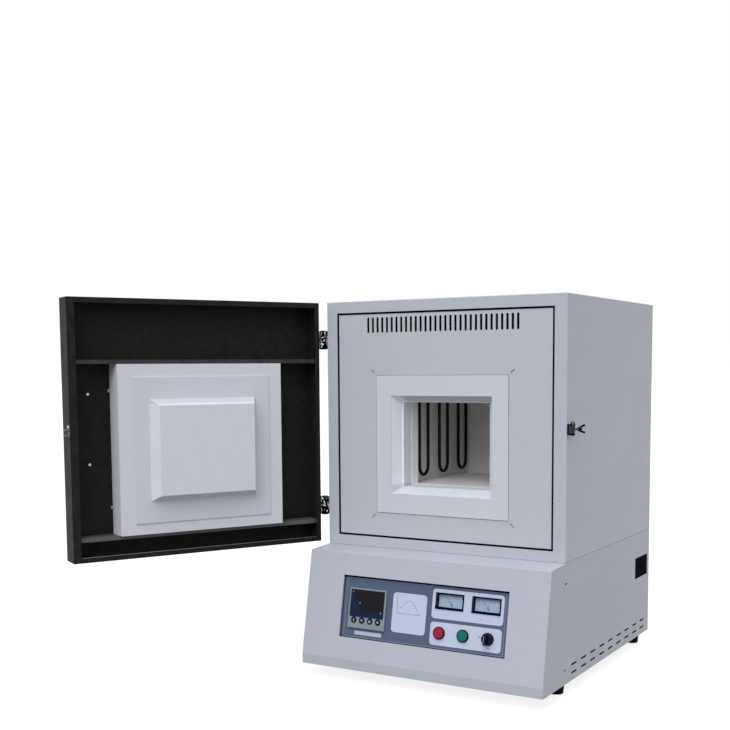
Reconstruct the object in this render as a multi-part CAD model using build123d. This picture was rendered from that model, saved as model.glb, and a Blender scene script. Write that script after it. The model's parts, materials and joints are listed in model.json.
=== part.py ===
from build123d import *
import os
from math import atan2, degrees, hypot

# A bench box furnace: an upper cabinet with the heated chamber, a sloped base with the
# controls, and a tray door that is modelled standing open.
# Millimetres. X runs to the right, Y to the back, Z up. The origin lies on the floor,
# in the middle of the four feet.

# Cabinet
cabinet_width = 600.0
cabinet_depth = 594.0
cabinet_height = 573.0
sheet = 2.0
bend_radius = 2.0
seam_gap = 0.6

# Base
base_height = 265.0
ledge_depth = 77.0
ledge_drop = 3.6
skirt_depth = 121.5
skirt_height = 22.0
flange_width = 25.0

# Feet
foot_height = 28.0
foot_top_radius = 19.0
foot_bottom_radius = 16.0
foot_side_inset = 30.0
foot_front_setback = 28.0
foot_rear_inset = 41.0
foot_screw_radius = 4.0

# Front border of the cabinet and the panel set into it
border_side = 28.5
border_top = 26.5
border_bottom = 24.0
border_lip = 12.0
border_flange = 12.0
panel_gap = 4.5
panel_recess = 1.5
vent_count = 31
vent_pitch = 12.5
vent_width = 6.0
vent_height = 36.0
vent_drop = 38.2
relief_length = 12.0
relief_width = 2.0
relief_start = 6.0

# Ceramic throat collar
collar_width = 332.0
collar_height = 318.0
collar_bottom = 83.0
collar_depth = 66.0
collar_gap = 1.0
collar_lip = 20.0
mouth_width = 254.0
mouth_height = 226.0
mouth_inset = 13.5
mouth_taper_depth = 28.0
throat_side_lip = 4.0
throat_lip = 2.0
throat_step = 1.0

# Chamber and its boards
chamber_width = 270.0
chamber_height = 200.0
chamber_depth = 305.0
wall_board = 30.0
roof_board = 35.0
side_insulation = 100.0
top_insulation = 70.0
rear_space = 84.0
collar_step_setback = 30.0

# Heating elements, hung from the roof along both side walls
elements_per_side = 3
element_pitch = 104.0
element_shank_spacing = 44.0
element_radius = 3.8
element_wall_gap = 12.0
element_floor_gap = 13.0
cold_end_radius = 6.0
cold_end_length = 158.0
cold_end_lift = 5.0
element_hole_gap = 1.0
clamp_gap = 0.2
clamp_width = 22.0
clamp_height = 16.0
strap_thickness = 5.0
strap_width = 18.0
strap_lift = 22.0

# Thermocouple through the rear wall
thermocouple_radius = 4.0
thermocouple_reach = 20.0
thermocouple_height = 160.0
thermocouple_hole_gap = 0.3
thermocouple_flange_radius = 22.0
thermocouple_flange = 4.0
thermocouple_head_radius = 15.0
thermocouple_head = 32.0

# Door
door_gap = 6.0
door_thickness = 52.5
door_bottom_gap = 5.5
door_top_gap = 1.0
door_rim = 12.0
door_free_rim = 17.0
door_open_angle = 118.0
door_full_angle = 180.0
crossbar_start = 3.0
upper_bar_height = 431.0
upper_bar_lip = 9.0
lower_bar_height = 57.4
lower_bar_lip = 9.0
lower_bar_start = 12.0
slab_width = 390.0
slab_back_width = 391.0
slab_proud = 2.5
slab_top_gap = 0.3
pad_width = 324.0
pad_height = 320.0
pad_thickness = 3.0
plug_gap = 1.0
plug_depth = 28.0
plug_inset = 13.5
tray_screw_side = 55.0
tray_screw_radius = 2.8
tray_screw_heights = (213.0, 366.0)
slab_screw_heights = (116.0, 373.0)
tab_length = 7.0
tab_height = 5.0
tab_thickness = 1.2
tab_screw_radius = 1.3
tab_screw_head = 1.4

# Hinges on the left edge
hinge_offset = 9.0
hinge_heights = (92.0, 485.0)
hinge_height = 42.5
knuckle_radius = 8.6
knuckle_count = 3
knuckle_gap = 0.4
leaf_thickness = 2.5
leaf_start = 6.5
leaf_reach = 33.0
hinge_pin_radius = 3.0
pin_clearance = 0.05
pin_head_radius = 7.6
pin_head = 1.0
leaf_screw_spacing = 26.0

# Side latch
latch_height = 286.0
latch_setback = 7.5
latch_rest_angle = 15.0
latch_standoff = 10.3
latch_plate = 2.0
latch_plate_depth = 11.0
latch_ear = 3.2
latch_ear_radius = 5.5
latch_pin_radius = 2.5
latch_ear_gap = 0.3
eye_height = 16.0
eye_radius = 5.0
bolt_radius = 2.5
bolt_length = 31.5
pin_cap_radius = 5.3
pin_cap = 1.2
bail_radius = 4.0
bail_wire_radius = 1.1
nut_start = 21.8
nut_hub_radius = 4.4
nut_hub_length = 8.0
nut_hub_draft = 0.8
nut_wing_span = 9.9
nut_wing_rise = 22.0
nut_wing_width = 4.0
nut_wing_thickness = 2.4
keeper_plate = 2.0
keeper_plate_depth = 6.4
keeper_start = 0.5
prong_radius = 2.8
prong_reach = 10.5
prong_gap = 0.4
keeper_screw_rise = 12.5
keeper_screw_radius = 1.5
keeper_screw_head_radius = 3.6
keeper_screw_head = 2.6
keeper_screw_length = 8.0
keeper_screw_gap = 0.1
keeper_top_margin = 4.0

# Screws shared by the covers
screw_radius = 2.0
screw_head_radius = 3.6
screw_head = 2.2
screw_length = 6.0
screw_hole_gap = 0.1

# Side slots and breaker window of the base
side_slot_count = 9
side_slot_start = 57.0
side_slot_end = 52.2
side_slot_length = 33.0
side_slot_height = 4.5
side_slot_rows = (17.0, 35.5)
breaker_length = 100.0
breaker_height = 53.0
breaker_rear_inset = 13.0
breaker_drop = 62.0
breaker_fit_gap = 0.5
breaker_depth = 62.0
breaker_recess = 1.0
breaker_flange = 4.0
breaker_flange_thickness = 3.0
toggle_width = 22.0
toggle_depth = 9.0
toggle_hub_radius = 4.0
toggle_reach = 8.2
toggle_thickness = 4.0
toggle_gap = 0.4
toggle_tilt = 20.0
toggle_pin_radius = 1.5
short_slot_length = 14.0
short_slot_height = 3.5
short_slot_places = ((6.0, 44.6), (1.0, 233.3))

# Control panel on the slope, placed across from the middle and down from the ledge edge
cutout_left = -203.5
cutout_right = 209.5
cutout_top = 51.5
cutout_bottom = 193.0
fascia_recess = 6.0
fascia_thickness = 3.0
fascia_margin = 12.0

# Temperature controller
controller_centre = (-136.0, 124.0)
controller_width = 96.0
controller_height = 91.0
controller_front = 0.0
controller_body_width = 90.0
controller_body_height = 85.0
controller_body_depth = 78.0
controller_fit_gap = 0.5
screen_width = 88.5
screen_height = 62.0
screen_top = 3.3
screen_thickness = 2.0
screen_seat_gap = 0.2
screen_recess = 0.6
key_count = 4
key_radius = 7.2
key_pitch = 21.0
key_drop = 72.5
key_proud = 1.2
key_travel = 0.8
key_depth = 3.0
key_gap = 0.3
key_floor_gap = 0.4

# Panel meters
meter_centres = ((68.2, 87.1), (156.3, 87.1))
meter_width = 68.5
meter_height = 36.4
meter_front = -4.0
meter_frame_side = 2.6
meter_frame_top = 3.2
meter_frame_bottom = 5.0
meter_dial_depth = 13.0
meter_dial_thickness = 1.0
meter_body_depth = 34.0
meter_body_inset = 1.6
meter_window_thickness = 1.2
meter_window_recess = 0.5
needle_length = 21.0
needle_width = 1.0
needle_thickness = 0.5
needle_lift = 1.6
needle_pivot_drop = 7.0
needle_hub_radius = 2.2
needle_pin_radius = 0.8
needle_rest_angle = 42.0
needle_sweep = 84.0

# Push buttons and selector
stop_centre = (48.9, 157.2)
start_centre = (106.2, 157.0)
selector_centre = (165.4, 156.9)
button_radius = 11.7
button_front = -0.5
button_travel = 2.0
button_gap = 0.4
bezel_radius = 13.9
bezel_height = 4.5
bezel_floor = 0.5
cap_gap = 0.5
barrel_radius = 11.0
barrel_depth = 34.0
barrel_hole_gap = 0.3
stem_radius = 4.0
stem_length = 14.0
stem_gap = 0.08
knob_radius = 12.3
knob_front = 4.5
knob_taper = 0.8
knob_seat_gap = 0.4
knob_stem_length = 12.0
grip_width = 7.0
grip_height = 8.5
grip_overhang = 1.0

# Base interior and rear
core_width = 190.0
core_height = 165.0
core_thickness = 75.0
core_leg = 32.0
coil_thickness = 24.0
coil_gap = 0.4
transformer_place = (-40.0, 300.0)
sink_width = 110.0
sink_depth = 150.0
sink_height = 60.0
sink_base = 10.0
sink_fins = 10
sink_fin = 3.0
sink_side_inset = 100.0
sink_setback = 420.0
regulator_height = 45.0
regulator_inset = 12.0
terminal_count = 8
terminal_pitch = 14.0
terminal_depth = 30.0
terminal_height = 26.0
terminal_wall = 2.0
terminal_place = (-60.0, 500.0)
fan_size = 120.0
fan_depth = 38.0
fan_wall = 3.0
fan_centre_x = -60.0
fan_centre_height = 150.0
fan_bore_radius = 57.0
fan_tip_gap = 1.5
fan_hub_radius = 20.0
fan_blades = 7
fan_blade_depth = 26.0
fan_blade_thickness = 2.0
fan_blade_twist = 35.0
fan_shaft_radius = 3.0
fan_strut = 8.0
rear_slot_count = 9
rear_slot_pitch = 12.0
rear_slot_width = 5.0
gland_radius = 12.5
gland_bore_radius = 6.5
gland_reach = 18.0
gland_nut_height = 6.0
gland_side_inset = 110.0
gland_height = 90.0
rear_vent_count = 20
rear_vent_drop = 150.0
deck_hole_size = 40.0
deck_hole_inset = 50.0
floor_slot_count = 12
floor_slot_pitch = 20.0
floor_slot_length = 60.0
floor_slot_width = 6.0

# Places that follow from the sizes above
side = cabinet_width / 2
front = -(foot_front_setback + cabinet_depth - foot_rear_inset) / 2
rear = front + cabinet_depth
seam = foot_height + base_height
top = seam + cabinet_height
skirt = front - skirt_depth
ledge_edge = front - ledge_depth
fold_height = foot_height + skirt_height
slope_rise = base_height - ledge_drop - skirt_height
slope_run = skirt_depth - ledge_depth
slope_angle = degrees(atan2(slope_run, slope_rise))
slope_length = hypot(slope_run, slope_rise)
slope = Location(Plane(origin=(0, ledge_edge, seam - ledge_drop), x_dir=(1, 0, 0),
                       z_dir=(0, -slope_rise, slope_run)))

mouth_middle = seam + collar_bottom + collar_height / 2
mouth_low = mouth_middle - mouth_height / 2
taper_low = mouth_low + mouth_inset
taper_high = mouth_low + mouth_height - mouth_inset
taper_half = mouth_width / 2 - mouth_inset
throat_low = taper_low + throat_lip
throat_high = taper_high - throat_lip
throat_half = taper_half - throat_side_lip
throat_end = front + collar_depth + wall_board
chamber_low = throat_low
chamber_high = chamber_low + chamber_height
chamber_back = throat_end + chamber_depth
chamber_half = chamber_width / 2
boards_low = chamber_low - wall_board
boards_high = chamber_high + roof_board
boards_half = chamber_half + wall_board
boards_back = chamber_back + wall_board
insulation_half = boards_half + side_insulation
insulation_high = boards_high + top_insulation
insulation_back = rear - rear_space
deck_top = seam + sheet

rim = front - door_gap
door_skin = rim - door_thickness
door_low = seam + door_bottom_gap
door_high = top - door_top_gap
hinge_x = -side - hinge_offset
hinge_y = front - door_gap / 2


def block(x, y, z):
    """A box between three pairs of limits."""
    spans = (x, y, z)
    middle = [(low + high) / 2 for low, high in spans]
    return Pos(*middle) * Box(*[high - low for low, high in spans])


def rod(start, direction, radius, length):
    """A round bar from a start point along a direction."""
    return Plane(origin=start, z_dir=direction).location * Cylinder(
        radius, length, align=(Align.CENTER, Align.CENTER, Align.MIN))


def screw(place, outward, length=screw_length):
    """A pan head screw whose head sits on the surface at place and faces outward."""
    inward = [-part for part in outward]
    return rod(place, outward, screw_head_radius, screw_head) + rod(place, inward, screw_radius, length)


def screw_hole(place, outward, length=screw_length + 2):
    """The clearance hole for one screw."""
    inward = [-part for part in outward]
    lead = [p + part for p, part in zip(place, outward)]
    return rod(lead, inward, screw_radius + screw_hole_gap, length + 1)


def mirrored(shape):
    """The shape and its mirror image across the middle plane."""
    return [shape, mirror(shape, about=Plane.YZ)]


def cut_all(shape, tools):
    """The shape with each tool taken away."""
    for tool in tools:
        shape = shape - tool
    return shape


def on_slope(across, down, lift=0.0):
    """The location at a point of the sloped front, with local Z pointing out of it."""
    return slope * Pos(across, -down, lift)


def opened(shape):
    """A door piece, built shut, turned to where it stands open."""
    return Pos(hinge_x, hinge_y, 0) * Rot(0, 0, -door_open_angle) * Pos(-hinge_x, -hinge_y, 0) * shape


def row(count, pitch):
    """Offsets of a centred row."""
    return [(i - (count - 1) / 2) * pitch for i in range(count)]


nodes = {}


def keep(name, *shapes):
    """Store a node as one solid or as a group of separate solids."""
    solids = []
    for shape in shapes:
        solids += list(shape.solids())
    nodes[name] = solids[0] if len(solids) == 1 else Compound(children=solids)


# Cabinet shell

inner_half = side - sheet
opening_half = side - border_side
opening_low = seam + border_bottom
opening_high = top - border_top
lip_back = front + sheet + border_lip


def hinge_screw_points():
    """Middle of each hinge leaf screw, up the left edge."""
    heights = [seam + middle + step for middle in hinge_heights for step in row(2, leaf_screw_spacing)]
    return heights, leaf_start + (leaf_reach - leaf_start) * 0.6


def rear_screw_points(low, high):
    """Screws round a rear cover, set in from its edge."""
    inset = 10.0
    across = inner_half - inset
    return [(x, rear, z) for x in (-across, 0.0, across) for z in (low + inset, high - inset)]


def make_upper_casing():
    shell = block((-side, side), (front, rear), (seam + seam_gap, top))
    bends = shell.faces().sort_by(Axis.Y)[0].edges().filter_by(lambda e: e.center().Z > seam + seam_gap + 1)
    bends += shell.edges().filter_by(Axis.Y).filter_by(lambda e: e.center().Z > top - 1)
    shell = fillet(bends, bend_radius)
    shell -= block((-inner_half, inner_half), (front + sheet, rear + 1), (seam, top - sheet))
    shell -= block((-opening_half, opening_half), (front - 1, front + sheet + 1),
                   (opening_low, opening_high))
    lip = block((-opening_half - sheet, opening_half + sheet), (front + sheet, lip_back),
                (opening_low - sheet, opening_high + sheet))
    lip -= block((-opening_half, opening_half), (front, lip_back + 1), (opening_low, opening_high))
    flange = block((-opening_half - sheet, opening_half + sheet), (lip_back, lip_back + sheet),
                   (opening_low - sheet, opening_high + sheet))
    flange -= block((-opening_half + border_flange, opening_half - border_flange),
                    (lip_back - 1, lip_back + sheet + 1),
                    (opening_low + border_flange, opening_high - border_flange))
    shell = shell + lip + flange
    heights, along = hinge_screw_points()
    holes = [screw_hole((-side, front - door_gap / 2 + along, z), (-1, 0, 0)) for z in heights]
    return cut_all(shell, holes)


def make_front_panel():
    face = front + panel_recess
    wide = opening_half - panel_gap
    high = opening_high - panel_gap
    low = opening_low + 0.4
    panel = block((-wide, wide), (face, lip_back), (low, high))
    panel -= block((-wide + sheet, wide - sheet), (face + sheet, lip_back + 1), (low + sheet, high - sheet))
    hole_half = collar_width / 2 + collar_gap
    hole_low = seam + collar_bottom - collar_gap
    hole_high = seam + collar_bottom + collar_height + collar_gap
    lips = block((-hole_half - sheet, hole_half + sheet), (face, face + collar_lip),
                 (hole_low - sheet, hole_high + sheet))
    panel = panel + lips
    panel -= block((-hole_half, hole_half), (face - 1, face + collar_lip + 1), (hole_low, hole_high))
    vent_middle = top - vent_drop - vent_height / 2
    vent = extrude(SlotOverall(vent_height, vent_width), 3 * sheet, both=True)
    panel = cut_all(panel, [Pos(x, face, vent_middle) * Rot(90, 0, 0) * Rot(0, 0, 90) * vent
                            for x in row(vent_count, vent_pitch)])
    relief = extrude(SlotOverall(relief_length, relief_width), sheet, both=True)
    reach = relief_start + relief_length / 2
    step = reach / 2 ** 0.5
    for turn, x, z in ((45, hole_half + step, hole_high + step), (-45, hole_half + step, hole_low - step),
                       (-45, -hole_half - step, hole_high + step), (45, -hole_half - step, hole_low - step)):
        panel -= Pos(x, face + sheet / 2, z) * Rot(90, 0, 0) * Rot(0, 0, turn) * relief
    return panel


def make_rear_cover():
    """A flat rear plate between the casing's sides, with a row of upright slots in its upper part."""
    low = deck_top
    high = top - sheet
    plate = block((-inner_half, inner_half), (rear - sheet, rear), (low, high))
    slot = extrude(SlotOverall(vent_height, vent_width), 2 * sheet, both=True)
    slot_z = top - rear_vent_drop - vent_height / 2
    plate = cut_all(plate, [Pos(x, rear, slot_z) * Rot(90, 0, 0) * Rot(0, 0, 90) * slot
                            for x in row(rear_vent_count, vent_pitch)])
    return cut_all(plate, [screw_hole(p, (0, 1, 0)) for p in rear_screw_points(low, high)])


def make_deck_plate():
    plate = block((-inner_half, inner_half), (front + sheet, rear - sheet), (seam, deck_top))
    centre = Pos(0, rear - deck_hole_inset, seam)
    return plate - centre * Box(deck_hole_size, deck_hole_size, 4 * sheet)


keep("upper_casing", make_upper_casing())
keep("front_panel", make_front_panel())
keep("deck_plate", make_deck_plate())

# Throat and chamber


def frustum(plane_y, size, back_y, back_size, middle_z):
    """A four sided taper between two upright rectangles."""
    first = Plane(origin=(0, plane_y, middle_z), x_dir=(1, 0, 0), z_dir=(0, 1, 0)) * Rectangle(*size)
    last = Plane(origin=(0, back_y, middle_z), x_dir=(1, 0, 0), z_dir=(0, 1, 0)) * Rectangle(*back_size)
    return loft([first, last], ruled=True)


def make_throat_collar():
    """The ceramic collar: a tapered mouth, a narrow lip at its end and a straight throat."""
    half = collar_width / 2
    collar = block((-half, half), (front, front + collar_depth),
                   (seam + collar_bottom, seam + collar_bottom + collar_height))
    collar = fillet(collar.faces().sort_by(Axis.Y)[0].edges(), 1.0)
    narrow = (2 * taper_half, taper_high - taper_low)
    taper_end = front + mouth_taper_depth
    slope_ratio = 2 * mouth_inset / mouth_taper_depth
    wide = (mouth_width + slope_ratio, mouth_height + slope_ratio)
    collar -= frustum(front - 1, wide, taper_end, narrow, mouth_middle)
    collar -= block((-throat_half, throat_half), (taper_end - 0.01, front + collar_depth + 1),
                    (throat_low, throat_high))
    return collar


def cold_end_points():
    """Where each cold end stands: side sign, X and Y."""
    wall_x = chamber_half - element_wall_gap - element_radius
    middle = (throat_end + chamber_back) / 2
    points = []
    for sign in (-1, 1):
        for along in row(elements_per_side, element_pitch):
            points.append((sign * wall_x, middle + along))
    return points


def leg_points():
    """Both legs of every element."""
    return [(x, y + step) for x, y in cold_end_points() for step in row(2, element_shank_spacing)]


def make_front_wall():
    wall = block((-boards_half, boards_half), (front + collar_depth, throat_end), (boards_low, boards_high))
    half = throat_half - throat_step
    return wall - block((-half, half), (front, throat_end + 1), (throat_low, throat_high - throat_step))


def make_roof():
    roof = block((-boards_half, boards_half), (throat_end, chamber_back), (chamber_high, boards_high))
    return cut_all(roof, [rod((x, y, chamber_high - 1), (0, 0, 1), cold_end_radius + element_hole_gap,
                              roof_board + 2) for x, y in leg_points()])


thermocouple_z = chamber_low + thermocouple_height


def thermocouple_hole(start, length):
    return rod((0, start - 1, thermocouple_z), (0, 1, 0), thermocouple_radius + thermocouple_hole_gap,
               length + 2)


keep("throat_collar", make_throat_collar())
keep("chamber_front_wall", make_front_wall())
keep("chamber_floor", block((-chamber_half, chamber_half), (throat_end, chamber_back),
                            (boards_low, chamber_low)))
keep("chamber_side_walls", *mirrored(block((chamber_half, boards_half), (throat_end, chamber_back),
                                           (boards_low, chamber_high))))
keep("chamber_roof", make_roof())
keep("chamber_rear_wall", block((-boards_half, boards_half), (chamber_back, boards_back),
                                (boards_low, boards_high)) - thermocouple_hole(chamber_back, wall_board))

# Outer insulation, stacked on the deck

boards_front = front + collar_depth
insulation_bottom = block((-boards_half, boards_half), (boards_front, insulation_back),
                          (deck_top, boards_low))
insulation_bottom += block((-boards_half, boards_half), (front + collar_step_setback, boards_front),
                           (deck_top, seam + collar_bottom))
insulation_top = cut_all(
    block((-boards_half, boards_half), (boards_front, insulation_back), (boards_high, insulation_high)),
    [rod((x, y, boards_high - 1), (0, 0, 1), cold_end_radius + element_hole_gap, top_insulation + 2)
     for x, y in leg_points()])
insulation_rear = block((-boards_half, boards_half), (boards_back, insulation_back),
                        (boards_low, boards_high))
insulation_rear -= thermocouple_hole(boards_back, insulation_back - boards_back)
insulation_side = block((boards_half, insulation_half), (boards_front, insulation_back),
                        (deck_top, insulation_high))
keep("insulation_boards", insulation_bottom, insulation_top, insulation_rear, *mirrored(insulation_side))

# Heating elements

cold_low = chamber_high + cold_end_lift
cold_high = cold_low + cold_end_length


def make_element(x, y):
    """One U: two thick cold ends above the roof and a thin loop that hangs in the chamber."""
    bend = element_shank_spacing / 2
    low = chamber_low + element_floor_gap + element_radius + bend
    start = (x, y - bend, cold_low)
    path = Line(start, (x, y - bend, low))
    path += ThreePointArc((x, y - bend, low), (x, y, low - bend), (x, y + bend, low))
    path += Line((x, y + bend, low), (x, y + bend, cold_low))
    loop = sweep(Plane(origin=start, z_dir=(0, 0, -1)) * Circle(element_radius), path=path)
    for step in (-bend, bend):
        loop += rod((x, y + step, cold_low), (0, 0, 1), cold_end_radius, cold_end_length)
    return loop


def make_clamp(x, y):
    """A ceramic holder that grips both cold ends and rests on the insulation."""
    long = element_shank_spacing + 2 * cold_end_radius + clamp_width
    body = block((x - clamp_width / 2, x + clamp_width / 2), (y - long / 2, y + long / 2),
                 (insulation_high, insulation_high + clamp_height))
    return cut_all(body, [rod((x, y + step, insulation_high - 1), (0, 0, 1), cold_end_radius + clamp_gap,
                              clamp_height + 2) for step in row(2, element_shank_spacing)])


def make_strap(first, second, level):
    """A flat strap that joins two cold ends."""
    long = hypot(second[0] - first[0], second[1] - first[1])
    turn = degrees(atan2(second[1] - first[1], second[0] - first[0]))
    middle = ((first[0] + second[0]) / 2, (first[1] + second[1]) / 2, level)
    strap = Pos(*middle) * Rot(0, 0, turn) * extrude(
        SlotOverall(long + strap_width + 2, strap_width + 2), strap_thickness)
    return cut_all(strap, [rod((p[0], p[1], level - 1), (0, 0, 1), cold_end_radius + clamp_gap,
                               strap_thickness + 2) for p in (first, second)])


def make_straps():
    """Straps that put every element in one series chain."""
    level = insulation_high + clamp_height + strap_lift
    half = element_shank_spacing / 2
    places = cold_end_points()
    left = places[:elements_per_side]
    right = places[elements_per_side:]
    straps = []
    for group in (left, right):
        for near, far in zip(group, group[1:]):
            straps.append(make_strap((near[0], near[1] + half), (far[0], far[1] - half), level))
    straps.append(make_strap((left[-1][0], left[-1][1] + half), (right[-1][0], right[-1][1] + half), level))
    return straps


keep("heating_elements", *[make_element(x, y) for x, y in cold_end_points()])
keep("element_clamps", *[make_clamp(x, y) for x, y in cold_end_points()])
keep("element_straps", *make_straps())

thermocouple = rod((0, chamber_back - thermocouple_reach, thermocouple_z), (0, 1, 0), thermocouple_radius,
                   insulation_back - chamber_back + thermocouple_reach)
thermocouple += rod((0, insulation_back, thermocouple_z), (0, 1, 0), thermocouple_flange_radius,
                    thermocouple_flange)
thermocouple += rod((0, insulation_back + thermocouple_flange, thermocouple_z), (0, 1, 0),
                    thermocouple_head_radius, thermocouple_head)
keep("thermocouple", thermocouple)

# Door, built shut

door_slab_low = seam + lower_bar_height
door_slab_high = seam + upper_bar_height - slab_top_gap
slab_front = rim + slab_proud
slab_back = door_skin + sheet
slab_middle = (door_slab_low + door_slab_high) / 2
pad_front = slab_front + pad_thickness
keeper_y = rim - keeper_start
keeper_screw_y = keeper_y - keeper_plate_depth / 2
keeper_screw_z = seam + latch_height + keeper_screw_rise


def keeper_screw_hole():
    return rod((side + keeper_plate + 1, keeper_screw_y, keeper_screw_z), (-1, 0, 0),
               keeper_screw_radius + keeper_screw_gap, keeper_screw_length + keeper_plate)


def make_door_tray():
    tray = block((-side, side), (door_skin, rim), (door_low, door_high))
    tray = fillet(tray.edges(), bend_radius)
    tray -= block((-inner_half, inner_half), (door_skin + sheet, rim - sheet),
                  (door_low + sheet, door_high - sheet))
    tray -= block((-side + door_rim, side - door_free_rim), (rim - sheet - 1, rim + 1),
                  (door_low + door_rim, door_high - door_rim))
    heights, along = hinge_screw_points()
    holes = [screw_hole((-side, rim + door_gap / 2 - along, z), (-1, 0, 0)) for z in heights]
    return cut_all(tray, holes + [keeper_screw_hole()])


def angle_bar(level, start, lip, lip_up):
    """A cross bar: a shelf from the skin to a folded lip near the rim."""
    low = level if lip_up else level - sheet
    bar = block((-inner_half, inner_half), (slab_back, rim - start), (low, low + sheet))
    lip_z = (low, low + lip) if lip_up else (low + sheet - lip, low + sheet)
    return bar + block((-inner_half, inner_half), (rim - start - sheet, rim - start), lip_z)


def make_door_plug():
    base = (mouth_width - 2 * plug_gap, mouth_height - 2 * plug_gap)
    tip = [size - 2 * plug_inset for size in base]
    return frustum(pad_front, base, pad_front + plug_depth, tip, mouth_middle)


def make_keeper():
    """A plate on the door's free side, held by a screw over its two round prongs."""
    half = bolt_radius + prong_gap + 2 * prong_radius
    middle = seam + latch_height
    body = block((side, side + keeper_plate), (keeper_y - keeper_plate_depth, keeper_y),
                 (middle - half, keeper_screw_z + keeper_top_margin))
    for step in row(2, 2 * (bolt_radius + prong_gap + prong_radius)):
        peg = rod((side + keeper_plate - 0.5, keeper_y - prong_radius, middle + step), (1, 0, 0),
                  prong_radius, prong_reach)
        body += fillet(peg.faces().sort_by(Axis.X)[-1].edges(), prong_radius * 0.6)
    return body - keeper_screw_hole()


def make_keeper_screw():
    """A round headed screw."""
    place = (side + keeper_plate, keeper_screw_y, keeper_screw_z)
    head = rod(place, (1, 0, 0), keeper_screw_head_radius, keeper_screw_head)
    head = fillet(head.faces().sort_by(Axis.X)[-1].edges(), keeper_screw_head * 0.9)
    return head + rod(place, (-1, 0, 0), keeper_screw_radius, keeper_screw_length)


def make_door_screws():
    heights, along = hinge_screw_points()
    leaf_x = -side - leaf_thickness
    screws = [screw((leaf_x, rim + door_gap / 2 - along, z), (-1, 0, 0)) for z in heights]
    for z in tray_screw_heights:
        screws.append(rod((side - tray_screw_side, slab_back, seam + z), (0, 1, 0), tray_screw_radius,
                          screw_head))
    for way in (-1, 1):
        for z in slab_screw_heights:
            screws.append(rod((way * (slab_back_width / 2 + tab_thickness), slab_tab_y, seam + z),
                              (way, 0, 0), tab_screw_radius, tab_screw_head))
    return screws + [make_keeper_screw()]


slab_tab_y = slab_back + tab_height / 2


def make_slab_tabs():
    """Small angles on the skin that hold the slab's sides."""
    tabs = []
    x = slab_back_width / 2
    for z in slab_screw_heights:
        span = (seam + z - tab_length / 2, seam + z + tab_length / 2)
        leg = block((x, x + tab_thickness), (slab_back, slab_back + tab_height), span)
        foot = block((x, x + tab_height), (slab_back, slab_back + tab_thickness), span)
        tabs += mirrored(leg + foot)
    return tabs


keep("door_tray", opened(make_door_tray()))
keep("door_crossbars", opened(angle_bar(seam + upper_bar_height, crossbar_start, upper_bar_lip, True)),
     opened(angle_bar(seam + lower_bar_height, lower_bar_start, lower_bar_lip, False)))
keep("door_slab", opened(frustum(slab_front, (slab_width, door_slab_high - door_slab_low), slab_back,
                                 (slab_back_width, door_slab_high - door_slab_low), slab_middle)))
keep("door_seal_pad", opened(block((-pad_width / 2, pad_width / 2), (slab_front, pad_front),
                                   (mouth_middle - pad_height / 2, mouth_middle + pad_height / 2))))
keep("door_plug", opened(make_door_plug()))
keep("door_slab_tabs", *[opened(t) for t in make_slab_tabs()])
keep("latch_keeper", opened(make_keeper()))
keep("door_screws", *[opened(s) for s in make_door_screws()])

# Hinges


def hinge_leaf(middle, direction, knuckles):
    """A leaf on the left side with its knuckles. direction is 1 on the cabinet and -1 on the door."""
    low = middle - hinge_height / 2
    each = hinge_height / knuckle_count
    ends = sorted((hinge_y + direction * leaf_start, hinge_y + direction * leaf_reach))
    neck = sorted((hinge_y + direction * leaf_start, hinge_y))
    leaf = block((-side - leaf_thickness, -side), ends, (low, low + hinge_height))
    for i in knuckles:
        z = (low + i * each + knuckle_gap / 2, low + (i + 1) * each - knuckle_gap / 2)
        arm_end = hinge_y + direction * (door_gap / 2)
        arm = sorted((arm_end, hinge_y + direction * leaf_start))
        leaf += block((hinge_x, -side), arm, z)
        leaf += rod((hinge_x, hinge_y, z[0]), (0, 0, 1), knuckle_radius, z[1] - z[0])
    leaf -= rod((hinge_x, hinge_y, low - 1), (0, 0, 1), hinge_pin_radius + pin_clearance, hinge_height + 2)
    spot = hinge_screw_points()[1]
    return cut_all(leaf, [screw_hole((-side - leaf_thickness, hinge_y + direction * spot, middle + step),
                                     (-1, 0, 0)) for step in row(2, leaf_screw_spacing)])


def hinge_pin(middle):
    low = middle - hinge_height / 2
    pin = rod((hinge_x, hinge_y, low), (0, 0, 1), hinge_pin_radius, hinge_height)
    for z, way in ((low, -1), (low + hinge_height, 1)):
        pin += rod((hinge_x, hinge_y, z), (0, 0, way), pin_head_radius, pin_head)
    return pin


hinge_middles = [seam + height for height in hinge_heights]
keep("hinge_frame_leaves", *[hinge_leaf(z, 1, (0, 2)) for z in hinge_middles])
keep("hinge_door_leaves", *[opened(hinge_leaf(z, -1, (1,))) for z in hinge_middles])
keep("hinge_pins", *[hinge_pin(z) for z in hinge_middles])

# Side latch, with the bolt left hanging a little out from the side

pivot_x = side + latch_standoff
pivot_y = front + latch_setback
pivot_z = seam + latch_height
ear_low = pivot_z - eye_height / 2 - latch_ear_gap
ear_high = pivot_z + eye_height / 2 + latch_ear_gap


def swung(shape):
    """A bolt piece, built pointing back along the side, turned out to its rest."""
    return Pos(pivot_x, pivot_y, 0) * Rot(0, 0, -latch_rest_angle) * Pos(-pivot_x, -pivot_y, 0) * shape


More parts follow.
